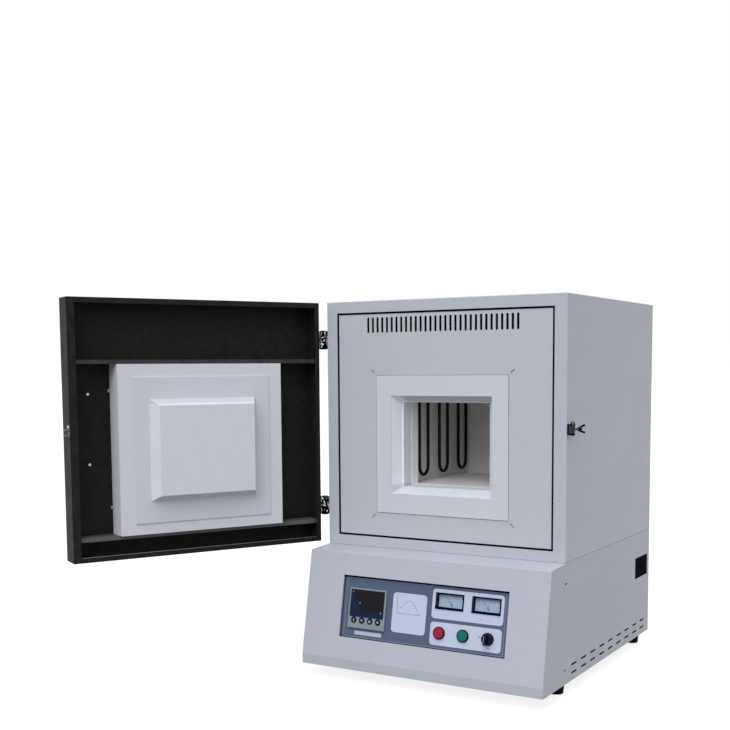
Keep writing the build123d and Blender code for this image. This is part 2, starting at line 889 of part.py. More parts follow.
def make_latch_bracket():
    """A welded plate with two ears that hold the pivot pin."""
    deep = latch_plate_depth / 2
    body = block((side, side + latch_plate), (pivot_y - deep, pivot_y + deep),
                 (ear_low - latch_ear, ear_high + latch_ear))
    for z in ((ear_low - latch_ear, ear_low), (ear_high, ear_high + latch_ear)):
        body += block((side, pivot_x), (pivot_y - latch_ear_radius, pivot_y + latch_ear_radius), z)
        body += rod((pivot_x, pivot_y, z[0]), (0, 0, 1), latch_ear_radius, latch_ear)
    return body - rod((pivot_x, pivot_y, pivot_z - eye_height), (0, 0, 1), latch_pin_radius + pin_clearance,
                      2 * eye_height)


def make_latch_pin():
    """The pivot pin with a cap at both ends and a wire bail on the upper one."""
    head_z = ear_high + latch_ear
    foot_z = ear_low - latch_ear
    pin = rod((pivot_x, pivot_y, foot_z - pin_cap / 2), (0, 0, 1), latch_pin_radius,
              head_z - foot_z + pin_cap)
    pin += rod((pivot_x, pivot_y, head_z), (0, 0, 1), pin_cap_radius, pin_cap)
    pin += rod((pivot_x, pivot_y, foot_z), (0, 0, -1), latch_pin_radius + 1, pin_cap)
    ring = Plane(origin=(pivot_x, pivot_y, head_z + pin_cap / 2), z_dir=(0, -1, 0)).location * Torus(
        bail_radius, bail_wire_radius)
    reach = 2 * (bail_radius + bail_wire_radius)
    upper = Pos(pivot_x, pivot_y, head_z + pin_cap / 2 + reach / 2) * Box(reach, reach, reach)
    return pin + (ring & upper)


def make_latch_bolt():
    eye = rod((pivot_x, pivot_y, pivot_z - eye_height / 2), (0, 0, 1), eye_radius, eye_height)
    bolt = eye + rod((pivot_x, pivot_y, pivot_z), (0, 1, 0), bolt_radius, bolt_length)
    return bolt - rod((pivot_x, pivot_y, pivot_z - eye_height), (0, 0, 1), latch_pin_radius + pin_clearance,
                      2 * eye_height)


def make_wing_nut():
    """A small hub with two wings that spread away from the pivot."""
    hub_start = pivot_y + nut_start
    upright = (Align.CENTER, Align.CENTER, Align.MIN)
    hub = Plane(origin=(pivot_x, hub_start, pivot_z), z_dir=(0, 1, 0)).location * Cone(
        nut_hub_radius, nut_hub_radius - nut_hub_draft, nut_hub_length, align=upright)
    root = bolt_radius + 0.4
    tip = hub_start + nut_wing_rise
    outline = Polyline((hub_start + 0.5, root), (hub_start + nut_hub_length - 0.5, root),
                       (tip, nut_wing_span - nut_wing_width), (tip + 0.5, nut_wing_span - 1),
                       (tip - nut_wing_width / 2, nut_wing_span), (hub_start + 4, nut_hub_radius + 1),
                       close=True)
    wing = extrude(Plane(origin=(0, 0, 0), x_dir=(0, 1, 0), z_dir=(1, 0, 0)) * make_face(outline),
                   nut_wing_thickness / 2, both=True)
    nut = hub + Pos(pivot_x, 0, pivot_z) * wing + Pos(pivot_x, 0, pivot_z) * mirror(wing, about=Plane.XY)
    return nut - rod((pivot_x, hub_start - 1, pivot_z), (0, 1, 0), bolt_radius + pin_clearance,
                     nut_hub_length + nut_wing_rise)


keep("latch_bracket", make_latch_bracket())
keep("latch_pin", make_latch_pin())
keep("latch_bolt", swung(make_latch_bolt()))
keep("wing_nut", swung(make_wing_nut()))

# Base shell

base_low = foot_height
plate_top = base_low + sheet
breaker_y = (rear - breaker_rear_inset - breaker_length, rear - breaker_rear_inset)
breaker_z = (seam - breaker_drop - breaker_height, seam - breaker_drop)


def make_base_casing():
    outline = [(rear, base_low), (skirt, base_low), (skirt, fold_height), (ledge_edge, seam - ledge_drop),
               (front, seam), (rear, seam)]
    face = make_face(Polyline(*outline, close=True))
    upright = Plane(origin=(0, 0, 0), x_dir=(0, 1, 0), z_dir=(1, 0, 0))
    shell = extrude(upright * face, side, both=True)
    bends = shell.edges().filter_by(Axis.X).filter_by(lambda e: e.center().Y < front - 1
                                                      and e.center().Z > base_low + 1)
    fronts = shell.edges().filter_by(lambda e: e.center().Y < front - 1 and e.center().Z > base_low + 1
                                     and abs(e.center().X) > side - 1)
    shell = fillet(bends + fronts, bend_radius)
    inner = offset(face, amount=-sheet, kind=Kind.INTERSECTION)
    shell -= extrude(upright * inner, inner_half, both=True)
    shell -= block((-inner_half, inner_half), (skirt + sheet, rear + 1), (base_low - 1, plate_top + 1))
    shell -= block((-inner_half, inner_half), (rear - sheet - 1, rear + 1), (base_low, seam - sheet))
    shell -= block((-side + flange_width, side - flange_width), (front + flange_width, rear - flange_width),
                   (seam - sheet - 1, seam + 1))
    cutout_width = cutout_right - cutout_left
    cutout_height = cutout_bottom - cutout_top
    middle = ((cutout_left + cutout_right) / 2, (cutout_top + cutout_bottom) / 2)
    lip = on_slope(*middle, -fascia_recess / 2) * Box(cutout_width + 2 * sheet, cutout_height + 2 * sheet,
                                                      fascia_recess)
    shell = shell + (lip - on_slope(*middle, -sheet / 4) * Box(2 * cutout_width, 2 * cutout_height,
                                                               sheet / 2))
    shell -= on_slope(*middle) * Box(cutout_width, cutout_height, 4 * fascia_recess)
    slot = extrude(SlotOverall(side_slot_length, side_slot_height), 2 * sheet, both=True)
    side_slot_pitch = (cabinet_depth - side_slot_start - side_slot_end) / (side_slot_count - 1)
    for x in (side, -side):
        for i in range(side_slot_count):
            for level in side_slot_rows:
                place = Plane(origin=(x, front + side_slot_start + i * side_slot_pitch, base_low + level),
                              x_dir=(0, 1, 0), z_dir=(1, 0, 0))
                shell -= place.location * slot
    short = extrude(SlotOverall(short_slot_length, short_slot_height), 2 * sheet, both=True)
    for x in (side, -side):
        for back, down in short_slot_places:
            place = Plane(origin=(x, front + back, seam - down), x_dir=(0, 1, 0), z_dir=(1, 0, 0))
            shell -= place.location * short
    return shell - block((side - sheet - 1, side + 1), breaker_y, breaker_z)


def foot_points():
    """Middle of each foot on the floor."""
    across = side - foot_side_inset
    return [(x, y) for x in (-across, across) for y in (front + foot_front_setback, rear - foot_rear_inset)]


def make_base_plate():
    plate = block((-inner_half, inner_half), (skirt + sheet, rear), (base_low, plate_top))
    vent = extrude(SlotOverall(floor_slot_length, floor_slot_width), 2 * sheet, both=True)
    plate = cut_all(plate, [Pos(x, 0, plate_top) * Rot(0, 0, 90) * vent
                            for x in row(floor_slot_count, floor_slot_pitch)])
    return cut_all(plate, [rod((x, y, base_low - 1), (0, 0, 1), foot_screw_radius + screw_hole_gap,
                               2 * sheet + 1) for x, y in foot_points()])


def make_foot(x, y):
    """A tapered rubber foot with its screw moulded in."""
    foot = Pos(x, y, 0) * Cone(foot_bottom_radius, foot_top_radius, foot_height,
                               align=(Align.CENTER, Align.CENTER, Align.MIN))
    foot = fillet(foot.faces().sort_by(Axis.Z)[0].edges(), 1.5)
    return foot + rod((x, y, foot_height - 1), (0, 0, 1), foot_screw_radius, 2 * sheet + 4)


keep("base_casing", make_base_casing())
keep("base_plate", make_base_plate())
keep("feet", *[make_foot(x, y) for x, y in foot_points()])

# Rear cover of the base, with the fan and the gland

cover_low = plate_top
cover_high = seam - sheet
fan_z = base_low + fan_centre_height
gland_x = side - gland_side_inset
gland_z = base_low + gland_height


def make_base_rear_cover():
    plate = block((-inner_half, inner_half), (rear - sheet, rear), (cover_low, cover_high))
    for z in row(rear_slot_count, rear_slot_pitch):
        reach = 2 * (fan_bore_radius ** 2 - z ** 2) ** 0.5 - 4
        slot = extrude(SlotOverall(reach, rear_slot_width), 2 * sheet, both=True)
        plate -= Pos(fan_centre_x, rear, fan_z + z) * Rot(90, 0, 0) * slot
    plate -= rod((gland_x, rear - sheet - 1, gland_z), (0, 1, 0), gland_radius - 2, sheet + 2)
    return cut_all(plate, [screw_hole(p, (0, 1, 0)) for p in rear_screw_points(cover_low, cover_high)])


def make_fan_frame():
    back = rear - sheet
    half = fan_size / 2
    frame = block((fan_centre_x - half, fan_centre_x + half), (back - fan_depth, back),
                  (fan_z - half, fan_z + half))
    frame = fillet(frame.edges().filter_by(Axis.Y), 5.0)
    frame -= rod((fan_centre_x, back - fan_depth - 1, fan_z), (0, 1, 0), fan_bore_radius, fan_depth + 2)
    for turn in (0, 90):
        strut = Pos(fan_centre_x, back - fan_depth + fan_wall / 2, fan_z) * Rot(0, turn, 0) * Box(
            2 * fan_bore_radius + 2, fan_wall, fan_strut)
        frame += strut
    frame += rod((fan_centre_x, back - fan_depth + fan_wall, fan_z), (0, 1, 0), fan_shaft_radius,
                 fan_depth - 2 * fan_wall)
    return frame


def make_fan_rotor():
    hub_front = rear - sheet - fan_depth + 2 * fan_wall
    hub = rod((fan_centre_x, hub_front, fan_z), (0, 1, 0), fan_hub_radius, fan_blade_depth)
    reach = fan_bore_radius - fan_tip_gap - fan_hub_radius + 2
    middle = fan_hub_radius - 2 + reach / 2
    blade = Pos(middle, 0, 0) * Rot(fan_blade_twist, 0, 0) * Box(reach, fan_blade_depth, fan_blade_thickness)
    blade &= rod((0, -fan_blade_depth / 2, 0), (0, 1, 0), fan_bore_radius - fan_tip_gap, fan_blade_depth)
    rotor = hub
    centre = Pos(fan_centre_x, hub_front + fan_blade_depth / 2, fan_z)
    for i in range(fan_blades):
        rotor += centre * Rot(0, i * 360 / fan_blades, 0) * blade
    return rotor - rod((fan_centre_x, hub_front - 1, fan_z), (0, 1, 0), fan_shaft_radius + pin_clearance,
                       fan_blade_depth + 2)


def make_gland():
    body = rod((gland_x, rear - sheet - gland_nut_height, gland_z), (0, 1, 0), gland_radius - 2.5,
               sheet + gland_nut_height + 1)
    nut = Plane(origin=(gland_x, rear, gland_z), z_dir=(0, 1, 0)).location * extrude(
        RegularPolygon(gland_radius + 1, 6), gland_nut_height)
    cap = rod((gland_x, rear + gland_nut_height, gland_z), (0, 1, 0), gland_radius,
              gland_reach - gland_nut_height)
    cap = fillet(cap.faces().sort_by(Axis.Y)[-1].edges(), 3.0)
    lock = Plane(origin=(gland_x, rear - sheet, gland_z), z_dir=(0, -1, 0)).location * extrude(
        RegularPolygon(gland_radius + 1, 6), gland_nut_height)
    gland = body + nut + cap + lock
    return gland - rod((gland_x, rear - 2 * gland_reach, gland_z), (0, 1, 0), gland_bore_radius,
                       4 * gland_reach)


keep("rear_covers", make_rear_cover(), make_base_rear_cover())
keep("fan_frame", make_fan_frame())
keep("fan_rotor", make_fan_rotor())
keep("cable_gland", make_gland())

# Main breaker in its side window

breaker_face = side - breaker_recess
toggle_y = (breaker_y[0] + breaker_y[1]) / 2
toggle_z = (breaker_z[0] + breaker_z[1]) / 2
toggle_pivot_x = breaker_face - toggle_depth


def make_breaker():
    """A moulded body that fills its window, with a flange behind the sheet and a pocket for the toggle."""
    y = (breaker_y[0] + breaker_fit_gap, breaker_y[1] - breaker_fit_gap)
    z = (breaker_z[0] + breaker_fit_gap, breaker_z[1] - breaker_fit_gap)
    body = block((breaker_face - breaker_depth, breaker_face), y, z)
    body += block((inner_half - breaker_flange_thickness, inner_half),
                  (breaker_y[0] - breaker_flange, breaker_y[1] + breaker_flange),
                  (breaker_z[0] - breaker_flange, breaker_z[1] + breaker_flange))
    half_wide = toggle_width / 2 + toggle_gap
    half_high = toggle_reach + toggle_gap
    body -= block((toggle_pivot_x - toggle_hub_radius - toggle_gap, side),
                  (toggle_y - half_wide, toggle_y + half_wide), (toggle_z - half_high, toggle_z + half_high))
    return body + rod((toggle_pivot_x, toggle_y - half_wide - 1, toggle_z), (0, 1, 0), toggle_pin_radius,
                      2 * half_wide + 2)


def make_toggle():
    """A hub with one lever, tilted up where the breaker is on."""
    hub = rod((toggle_pivot_x, toggle_y - toggle_width / 2, toggle_z), (0, 1, 0), toggle_hub_radius,
              toggle_width)
    lever = Pos(toggle_pivot_x, toggle_y, toggle_z) * Rot(0, -toggle_tilt, 0) * Pos(
        toggle_reach / 2, 0, 0) * Box(toggle_reach, toggle_width, toggle_thickness)
    return (hub + lever) - rod((toggle_pivot_x, toggle_y - toggle_width, toggle_z), (0, 1, 0),
                               toggle_pin_radius + pin_clearance, 2 * toggle_width)


keep("main_breaker", make_breaker())
keep("breaker_toggle", make_toggle())

# Power parts on the base plate


def make_core():
    x, back = transformer_place
    y = front + back
    half = core_width / 2
    core = block((x - half, x + half), (y - core_thickness / 2, y + core_thickness / 2),
                 (plate_top, plate_top + core_height))
    window = (core_width - 3 * core_leg) / 2
    for side_sign in (-1, 1):
        middle = x + side_sign * (core_leg / 2 + window / 2)
        core -= block((middle - window / 2, middle + window / 2), (y - core_thickness, y + core_thickness),
                      (plate_top + core_leg / 2, plate_top + core_height - core_leg / 2))
    return core


def make_coil():
    x, back = transformer_place
    y = front + back
    reach = (core_leg / 2 + coil_gap + coil_thickness, core_thickness / 2 + coil_gap + coil_thickness)
    low = plate_top + core_leg / 2 + coil_gap
    high = plate_top + core_height - core_leg / 2 - coil_gap
    coil = block((x - reach[0], x + reach[0]), (y - reach[1], y + reach[1]), (low, high))
    coil = fillet(coil.edges().filter_by(Axis.Z), coil_thickness * 0.6)
    inner = (core_leg / 2 + coil_gap, core_thickness / 2 + coil_gap)
    return coil - block((x - inner[0], x + inner[0]), (y - inner[1], y + inner[1]), (low - 1, high + 1))


def make_heat_sink():
    x = sink_side_inset - side
    y = front + sink_setback
    half = (sink_width / 2, sink_depth / 2)
    sink = block((x - half[0], x + half[0]), (y - half[1], y + half[1]), (plate_top, plate_top + sink_base))
    for step in row(sink_fins, (sink_width - sink_fin) / (sink_fins - 1)):
        sink += block((x + step - sink_fin / 2, x + step + sink_fin / 2), (y - half[1], y + half[1]),
                      (plate_top, plate_top + sink_height))
    return sink


def make_regulator():
    x = sink_side_inset - side
    y = front + sink_setback
    half = (sink_width / 2 - regulator_inset, sink_depth / 2 - regulator_inset)
    low = plate_top + sink_height
    return fillet(block((x - half[0], x + half[0]), (y - half[1], y + half[1]),
                        (low, low + regulator_height)).edges().filter_by(Axis.Z), 4.0)


def make_terminal_block():
    x, back = terminal_place
    y = front + back
    long = terminal_count * terminal_pitch
    body = block((x - long / 2, x + long / 2), (y - terminal_depth / 2, y + terminal_depth / 2),
                 (plate_top, plate_top + terminal_height))
    for step in row(terminal_count, terminal_pitch):
        reach = (terminal_pitch - terminal_wall) / 2
        slot = (x + step - reach, x + step + reach)
        for way in (-1, 1):
            near = sorted((y + way * 4, y + way * terminal_depth))
            body -= block(slot, near, (plate_top + terminal_height / 2, plate_top + terminal_height + 1))
    return body


keep("transformer_core", make_core())
keep("transformer_coil", make_coil())
keep("heat_sink", make_heat_sink())
keep("power_regulator", make_regulator())
keep("terminal_block", make_terminal_block())

# Control panel, built on the slope

fascia_face = -fascia_recess
fascia_back = fascia_face - fascia_thickness


def panel_box(centre, size, depth):
    """A box on the slope: centre across and down, size, and depth limits along the outward normal."""
    return on_slope(*centre, (depth[0] + depth[1]) / 2) * Box(size[0], size[1], depth[1] - depth[0])


def panel_rod(centre, radius, depth):
    """A round bar along the slope's normal."""
    return on_slope(*centre, (depth[0] + depth[1]) / 2) * Cylinder(radius, depth[1] - depth[0])


def outer_edges(shape):
    """The edges round the face that stands furthest out of the slope."""
    outward = Vector(0, -slope_rise, slope_run)
    return shape.faces().sort_by(lambda face: face.center().dot(outward))[-1].edges()


def key_points():
    """Centres of the controller keys."""
    across, down = controller_centre
    row_down = down - controller_height / 2 + key_drop
    return [(across + step, row_down) for step in row(key_count, key_pitch)]


def make_fascia():
    centre = ((cutout_left + cutout_right) / 2, (cutout_top + cutout_bottom) / 2)
    size = (cutout_right - cutout_left + 2 * fascia_margin, cutout_bottom - cutout_top + 2 * fascia_margin)
    plate = panel_box(centre, size, (fascia_back, fascia_face))
    through = (fascia_back - 1, fascia_face + 1)
    plate -= panel_box(controller_centre, (controller_body_width + 2 * controller_fit_gap,
                                           controller_body_height + 2 * controller_fit_gap), through)
    for place in meter_centres:
        plate -= panel_box(place, (meter_width - 2 * meter_body_inset + 2 * controller_fit_gap,
                                   meter_height - 2 * meter_body_inset + 2 * controller_fit_gap), through)
    for place in (stop_centre, start_centre, selector_centre):
        plate -= panel_rod(place, barrel_radius + barrel_hole_gap, through)
    return plate


def make_controller_case():
    bezel = panel_box(controller_centre, (controller_width, controller_height),
                      (fascia_face, controller_front))
    bezel = fillet(outer_edges(bezel), 1.5)
    body = panel_box(controller_centre, (controller_body_width, controller_body_height),
                     (fascia_face - controller_body_depth, fascia_face))
    case = bezel + body
    screen_pocket = (screen_width + 2 * screen_seat_gap, screen_height + 2 * screen_seat_gap)
    case -= panel_box(screen_centre, screen_pocket, (controller_front - screen_recess - screen_thickness, 1))
    for place in key_points():
        case -= panel_rod(place, key_radius + key_gap,
                          (controller_front - key_depth - key_travel - key_floor_gap, 1))
    return case


def make_key(place):
    key = panel_rod(place, key_radius, (controller_front - key_depth, controller_front + key_proud))
    return fillet(outer_edges(key), 0.8)


screen_drop = screen_top + screen_height / 2 - controller_height / 2
screen_centre = (controller_centre[0], controller_centre[1] + screen_drop)


def meter_opening():
    """Width and height of a meter's window."""
    return (meter_width - 2 * meter_frame_side, meter_height - meter_frame_top - meter_frame_bottom)


def opening_centre(place):
    """Middle of a meter's window, above the deeper bar at the bottom of the frame."""
    return (place[0], place[1] + (meter_frame_top - meter_frame_bottom) / 2)


def needle_pivot(place):
    """The needle's pivot, low on the dial."""
    return (place[0], place[1] + needle_pivot_drop)


def make_meter_case(place):
    case = panel_box(place, (meter_width, meter_height), (fascia_face, meter_front))
    case = fillet(outer_edges(case), 1.0)
    case += panel_box(place, (meter_width - 2 * meter_body_inset, meter_height - 2 * meter_body_inset),
                      (fascia_face - meter_body_depth, fascia_face))
    case -= panel_box(opening_centre(place), meter_opening(),
                      (meter_front - meter_dial_depth - meter_dial_thickness, 5))
    low = meter_front - meter_dial_depth
    return case + panel_rod(needle_pivot(place), needle_pin_radius,
                            (low - meter_dial_thickness - 1, low + needle_lift + needle_thickness))


def make_dial(place):
    low = meter_front - meter_dial_depth - meter_dial_thickness
    dial = panel_box(opening_centre(place), [s - 0.2 for s in meter_opening()],
                     (low, low + meter_dial_thickness))
    return dial - panel_rod(needle_pivot(place), needle_pin_radius + 0.3, (low - 1, low + 2))


def make_window(place):
    high = meter_front - meter_window_recess
    return panel_box(opening_centre(place), [s - 0.2 for s in meter_opening()],
                     (high - meter_window_thickness, high))


def make_needle(place):
    """A tapered pointer on a small hub, lying at its zero mark."""
    low = meter_front - meter_dial_depth + needle_lift - needle_thickness
    outline = make_face(Polyline((-needle_width, -4), (needle_width, -4), (needle_width / 3, needle_length),
                                 (-needle_width / 3, needle_length), close=True))
    blade = extrude(outline, needle_thickness)
    blade += Pos(0, 0, 0) * Cylinder(needle_hub_radius, needle_thickness + 0.6,
                                     align=(Align.CENTER, Align.CENTER, Align.MIN))
    blade -= Cylinder(needle_pin_radius + pin_clearance, 10)
    across, down = needle_pivot(place)
    return on_slope(across, down, low) * Rot(0, 0, needle_rest_angle) * blade


def make_switch_body(place):
    """A round bezel on the fascia with its barrel behind, bored for the moving stem."""
    ring = panel_rod(place, bezel_radius, (fascia_face, fascia_face + bezel_height))
    ring = fillet(outer_edges(ring), 1.2)
    ring -= panel_rod(place, button_radius + button_gap, (fascia_face + bezel_floor, 5))
    body = ring + panel_rod(place, barrel_radius, (fascia_face - barrel_depth, fascia_face))
    return body - panel_rod(place, stem_radius + stem_gap,
                            (fascia_face - stem_length - button_travel - 4, 10))


def make_button(place):
    """A flat round cap, just proud of its bezel, with its stem."""
    cap_back = fascia_face + bezel_floor + button_travel + cap_gap
    cap = panel_rod(place, button_radius, (cap_back, button_front))
    cap = fillet(outer_edges(cap), 1.5)
    return cap + panel_rod(place, stem_radius, (fascia_face - stem_length, cap_back))


def make_selector_knob(place):
    back = fascia_face + bezel_height + knob_seat_gap
    across, down = place
    high = knob_front - back
    knob = on_slope(across, down, back) * Cone(knob_radius, knob_radius - knob_taper, high,
                                               align=(Align.CENTER, Align.CENTER, Align.MIN))
    knob = fillet(outer_edges(knob), 1.0)
    long = 2 * knob_radius + grip_overhang
    grip = extrude(SlotOverall(long, grip_width), grip_height + 1)
    grip = fillet(grip.faces().sort_by(Axis.Z)[-1].edges(), 1.0)
    knob += on_slope(across, down + grip_overhang / 2, knob_front - 1) * Rot(0, 0, 90) * grip
    return knob + panel_rod(place, stem_radius, (fascia_face - knob_stem_length, back))


switch_places = (stop_centre, start_centre, selector_centre)
keep("control_fascia", make_fascia())
keep("controller_case", make_controller_case())
keep("controller_screen", panel_box(screen_centre, (screen_width, screen_height),
                                    (controller_front - screen_recess - screen_thickness,
                                     controller_front - screen_recess)))
for index, key_place in enumerate(key_points()):
    keep(f"controller_key_{index + 1}", make_key(key_place))
keep("meter_cases", *[make_meter_case(p) for p in meter_centres])
keep("meter_dials", *[make_dial(p) for p in meter_centres])
keep("meter_windows", *[make_window(p) for p in meter_centres])
keep("voltmeter_needle", make_needle(meter_centres[0]))
keep("ammeter_needle", make_needle(meter_centres[1]))
keep("switch_bodies", *[make_switch_body(p) for p in switch_places])
keep("stop_button", make_button(stop_centre))
keep("start_button", make_button(start_centre))
keep("selector_knob", make_selector_knob(selector_centre))


def make_cabinet_screws():
    heights, along = hinge_screw_points()
    screws = [screw((-side - leaf_thickness, hinge_y + along, z), (-1, 0, 0)) for z in heights]
    screws += [screw(p, (0, 1, 0)) for p in rear_screw_points(deck_top, top - sheet)]
    screws += [screw(p, (0, 1, 0)) for p in rear_screw_points(cover_low, cover_high)]
    return screws


keep("cabinet_screws", *make_cabinet_screws())

os.makedirs("parts", exist_ok=True)
for name, shape in nodes.items():
    export_step(shape, f"parts/{name}.step")
print(len(nodes), "nodes")
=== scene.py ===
import json
import math

import bmesh
import bpy
from mathutils import Matrix, Vector


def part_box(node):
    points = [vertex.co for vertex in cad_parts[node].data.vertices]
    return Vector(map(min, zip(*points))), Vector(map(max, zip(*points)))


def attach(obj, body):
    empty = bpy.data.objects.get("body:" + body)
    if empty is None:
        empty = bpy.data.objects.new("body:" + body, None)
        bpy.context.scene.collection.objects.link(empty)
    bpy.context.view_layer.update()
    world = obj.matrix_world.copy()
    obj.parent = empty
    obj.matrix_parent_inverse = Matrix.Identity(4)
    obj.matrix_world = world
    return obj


# A bench box furnace with its door open, dressed for a studio view.
# Blender works in metres, in the same frame as the solids. Sizes and places here are named in
# millimetres, and mm() turns them into metres.

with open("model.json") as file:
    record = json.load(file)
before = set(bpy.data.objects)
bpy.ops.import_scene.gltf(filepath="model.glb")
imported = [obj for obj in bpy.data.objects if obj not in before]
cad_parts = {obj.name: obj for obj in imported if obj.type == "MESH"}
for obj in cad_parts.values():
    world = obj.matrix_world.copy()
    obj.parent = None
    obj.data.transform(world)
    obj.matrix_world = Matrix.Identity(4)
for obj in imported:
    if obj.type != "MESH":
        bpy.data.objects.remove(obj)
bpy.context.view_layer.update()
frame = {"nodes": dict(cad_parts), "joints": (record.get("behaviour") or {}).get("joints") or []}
nodes = frame["nodes"]


def mm(*values):
    """Millimetres to metres."""
    scaled = tuple(v / 1000 for v in values)
    return scaled if len(scaled) > 1 else scaled[0]


def corners(node):
    """A node's lowest and highest corners in millimetres, to a thousandth."""
    return [[round(v * 1000, 3) for v in corner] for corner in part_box(node)]


# Sizes read from the solids
cabinet_low, cabinet_high = corners("upper_casing")
base_low, base_high = corners("base_casing")
half_width = cabinet_high[0]
front = cabinet_low[1]
cabinet_top = cabinet_high[2]
seam = base_high[2]
door_bottom = corners("door_tray")[0][2]
door_hinge = next(joint for joint in frame["joints"] if joint["name"] == "door_hinge")

# Sizes shared with the solids that their boxes don't give
ledge_depth = 77.0
ledge_drop = 3.6
skirt_height = 22.0
fascia_lift = -6.0
grip_face = 13.0
border_side = 28.5
border_top = 26.5
border_bottom = 24.0
panel_gap = 4.5
door_gap = 6.0
door_rim = 12.0

# The sloped front, with its own frame: across, up the slope, and out of it
slope_run = front - ledge_depth - base_low[1]
slope_rise = seam - ledge_drop - base_low[2] - skirt_height
slope_normal = Vector((0, -slope_rise, slope_run)).normalized()
slope_down = Vector((0, -slope_run, -slope_rise)).normalized()
slope_origin = Vector(mm(0, front - ledge_depth, seam - ledge_drop))
slope_frame = Matrix((
    (1, 0, 0, slope_origin.x),
    (0, -slope_down.y, slope_normal.y, slope_origin.y),
    (0, -slope_down.z, slope_normal.z, slope_origin.z),
    (0, 0, 0, 1)))

# Colours


def srgb(red, green, blue):
    """A colour read as 0 to 255 display values, as the linear values that shaders take."""
    def linear(value):
        part = value / 255
        return part / 12.92 if part <= 0.04045 else ((part + 0.055) / 1.055) ** 2.4
    return linear(red), linear(green), linear(blue), 1.0


def grey(level):
    """A grey as linear values."""
    return level, level, level, 1.0


def toned(colour, share):
    """A darker or lighter neighbour of a colour."""
    return tuple(min(1, c * share) for c in colour[:3]) + (1.0,)


# Most values of a noise texture lie between these
noise_low = 0.3
noise_high = 0.7


def shades(colour, spread):
    """Ramp stops from a darker to a lighter neighbour of a colour."""
    return [(noise_low, toned(colour, 1 - spread)), (noise_high, toned(colour, 1 + spread))]


# Materials


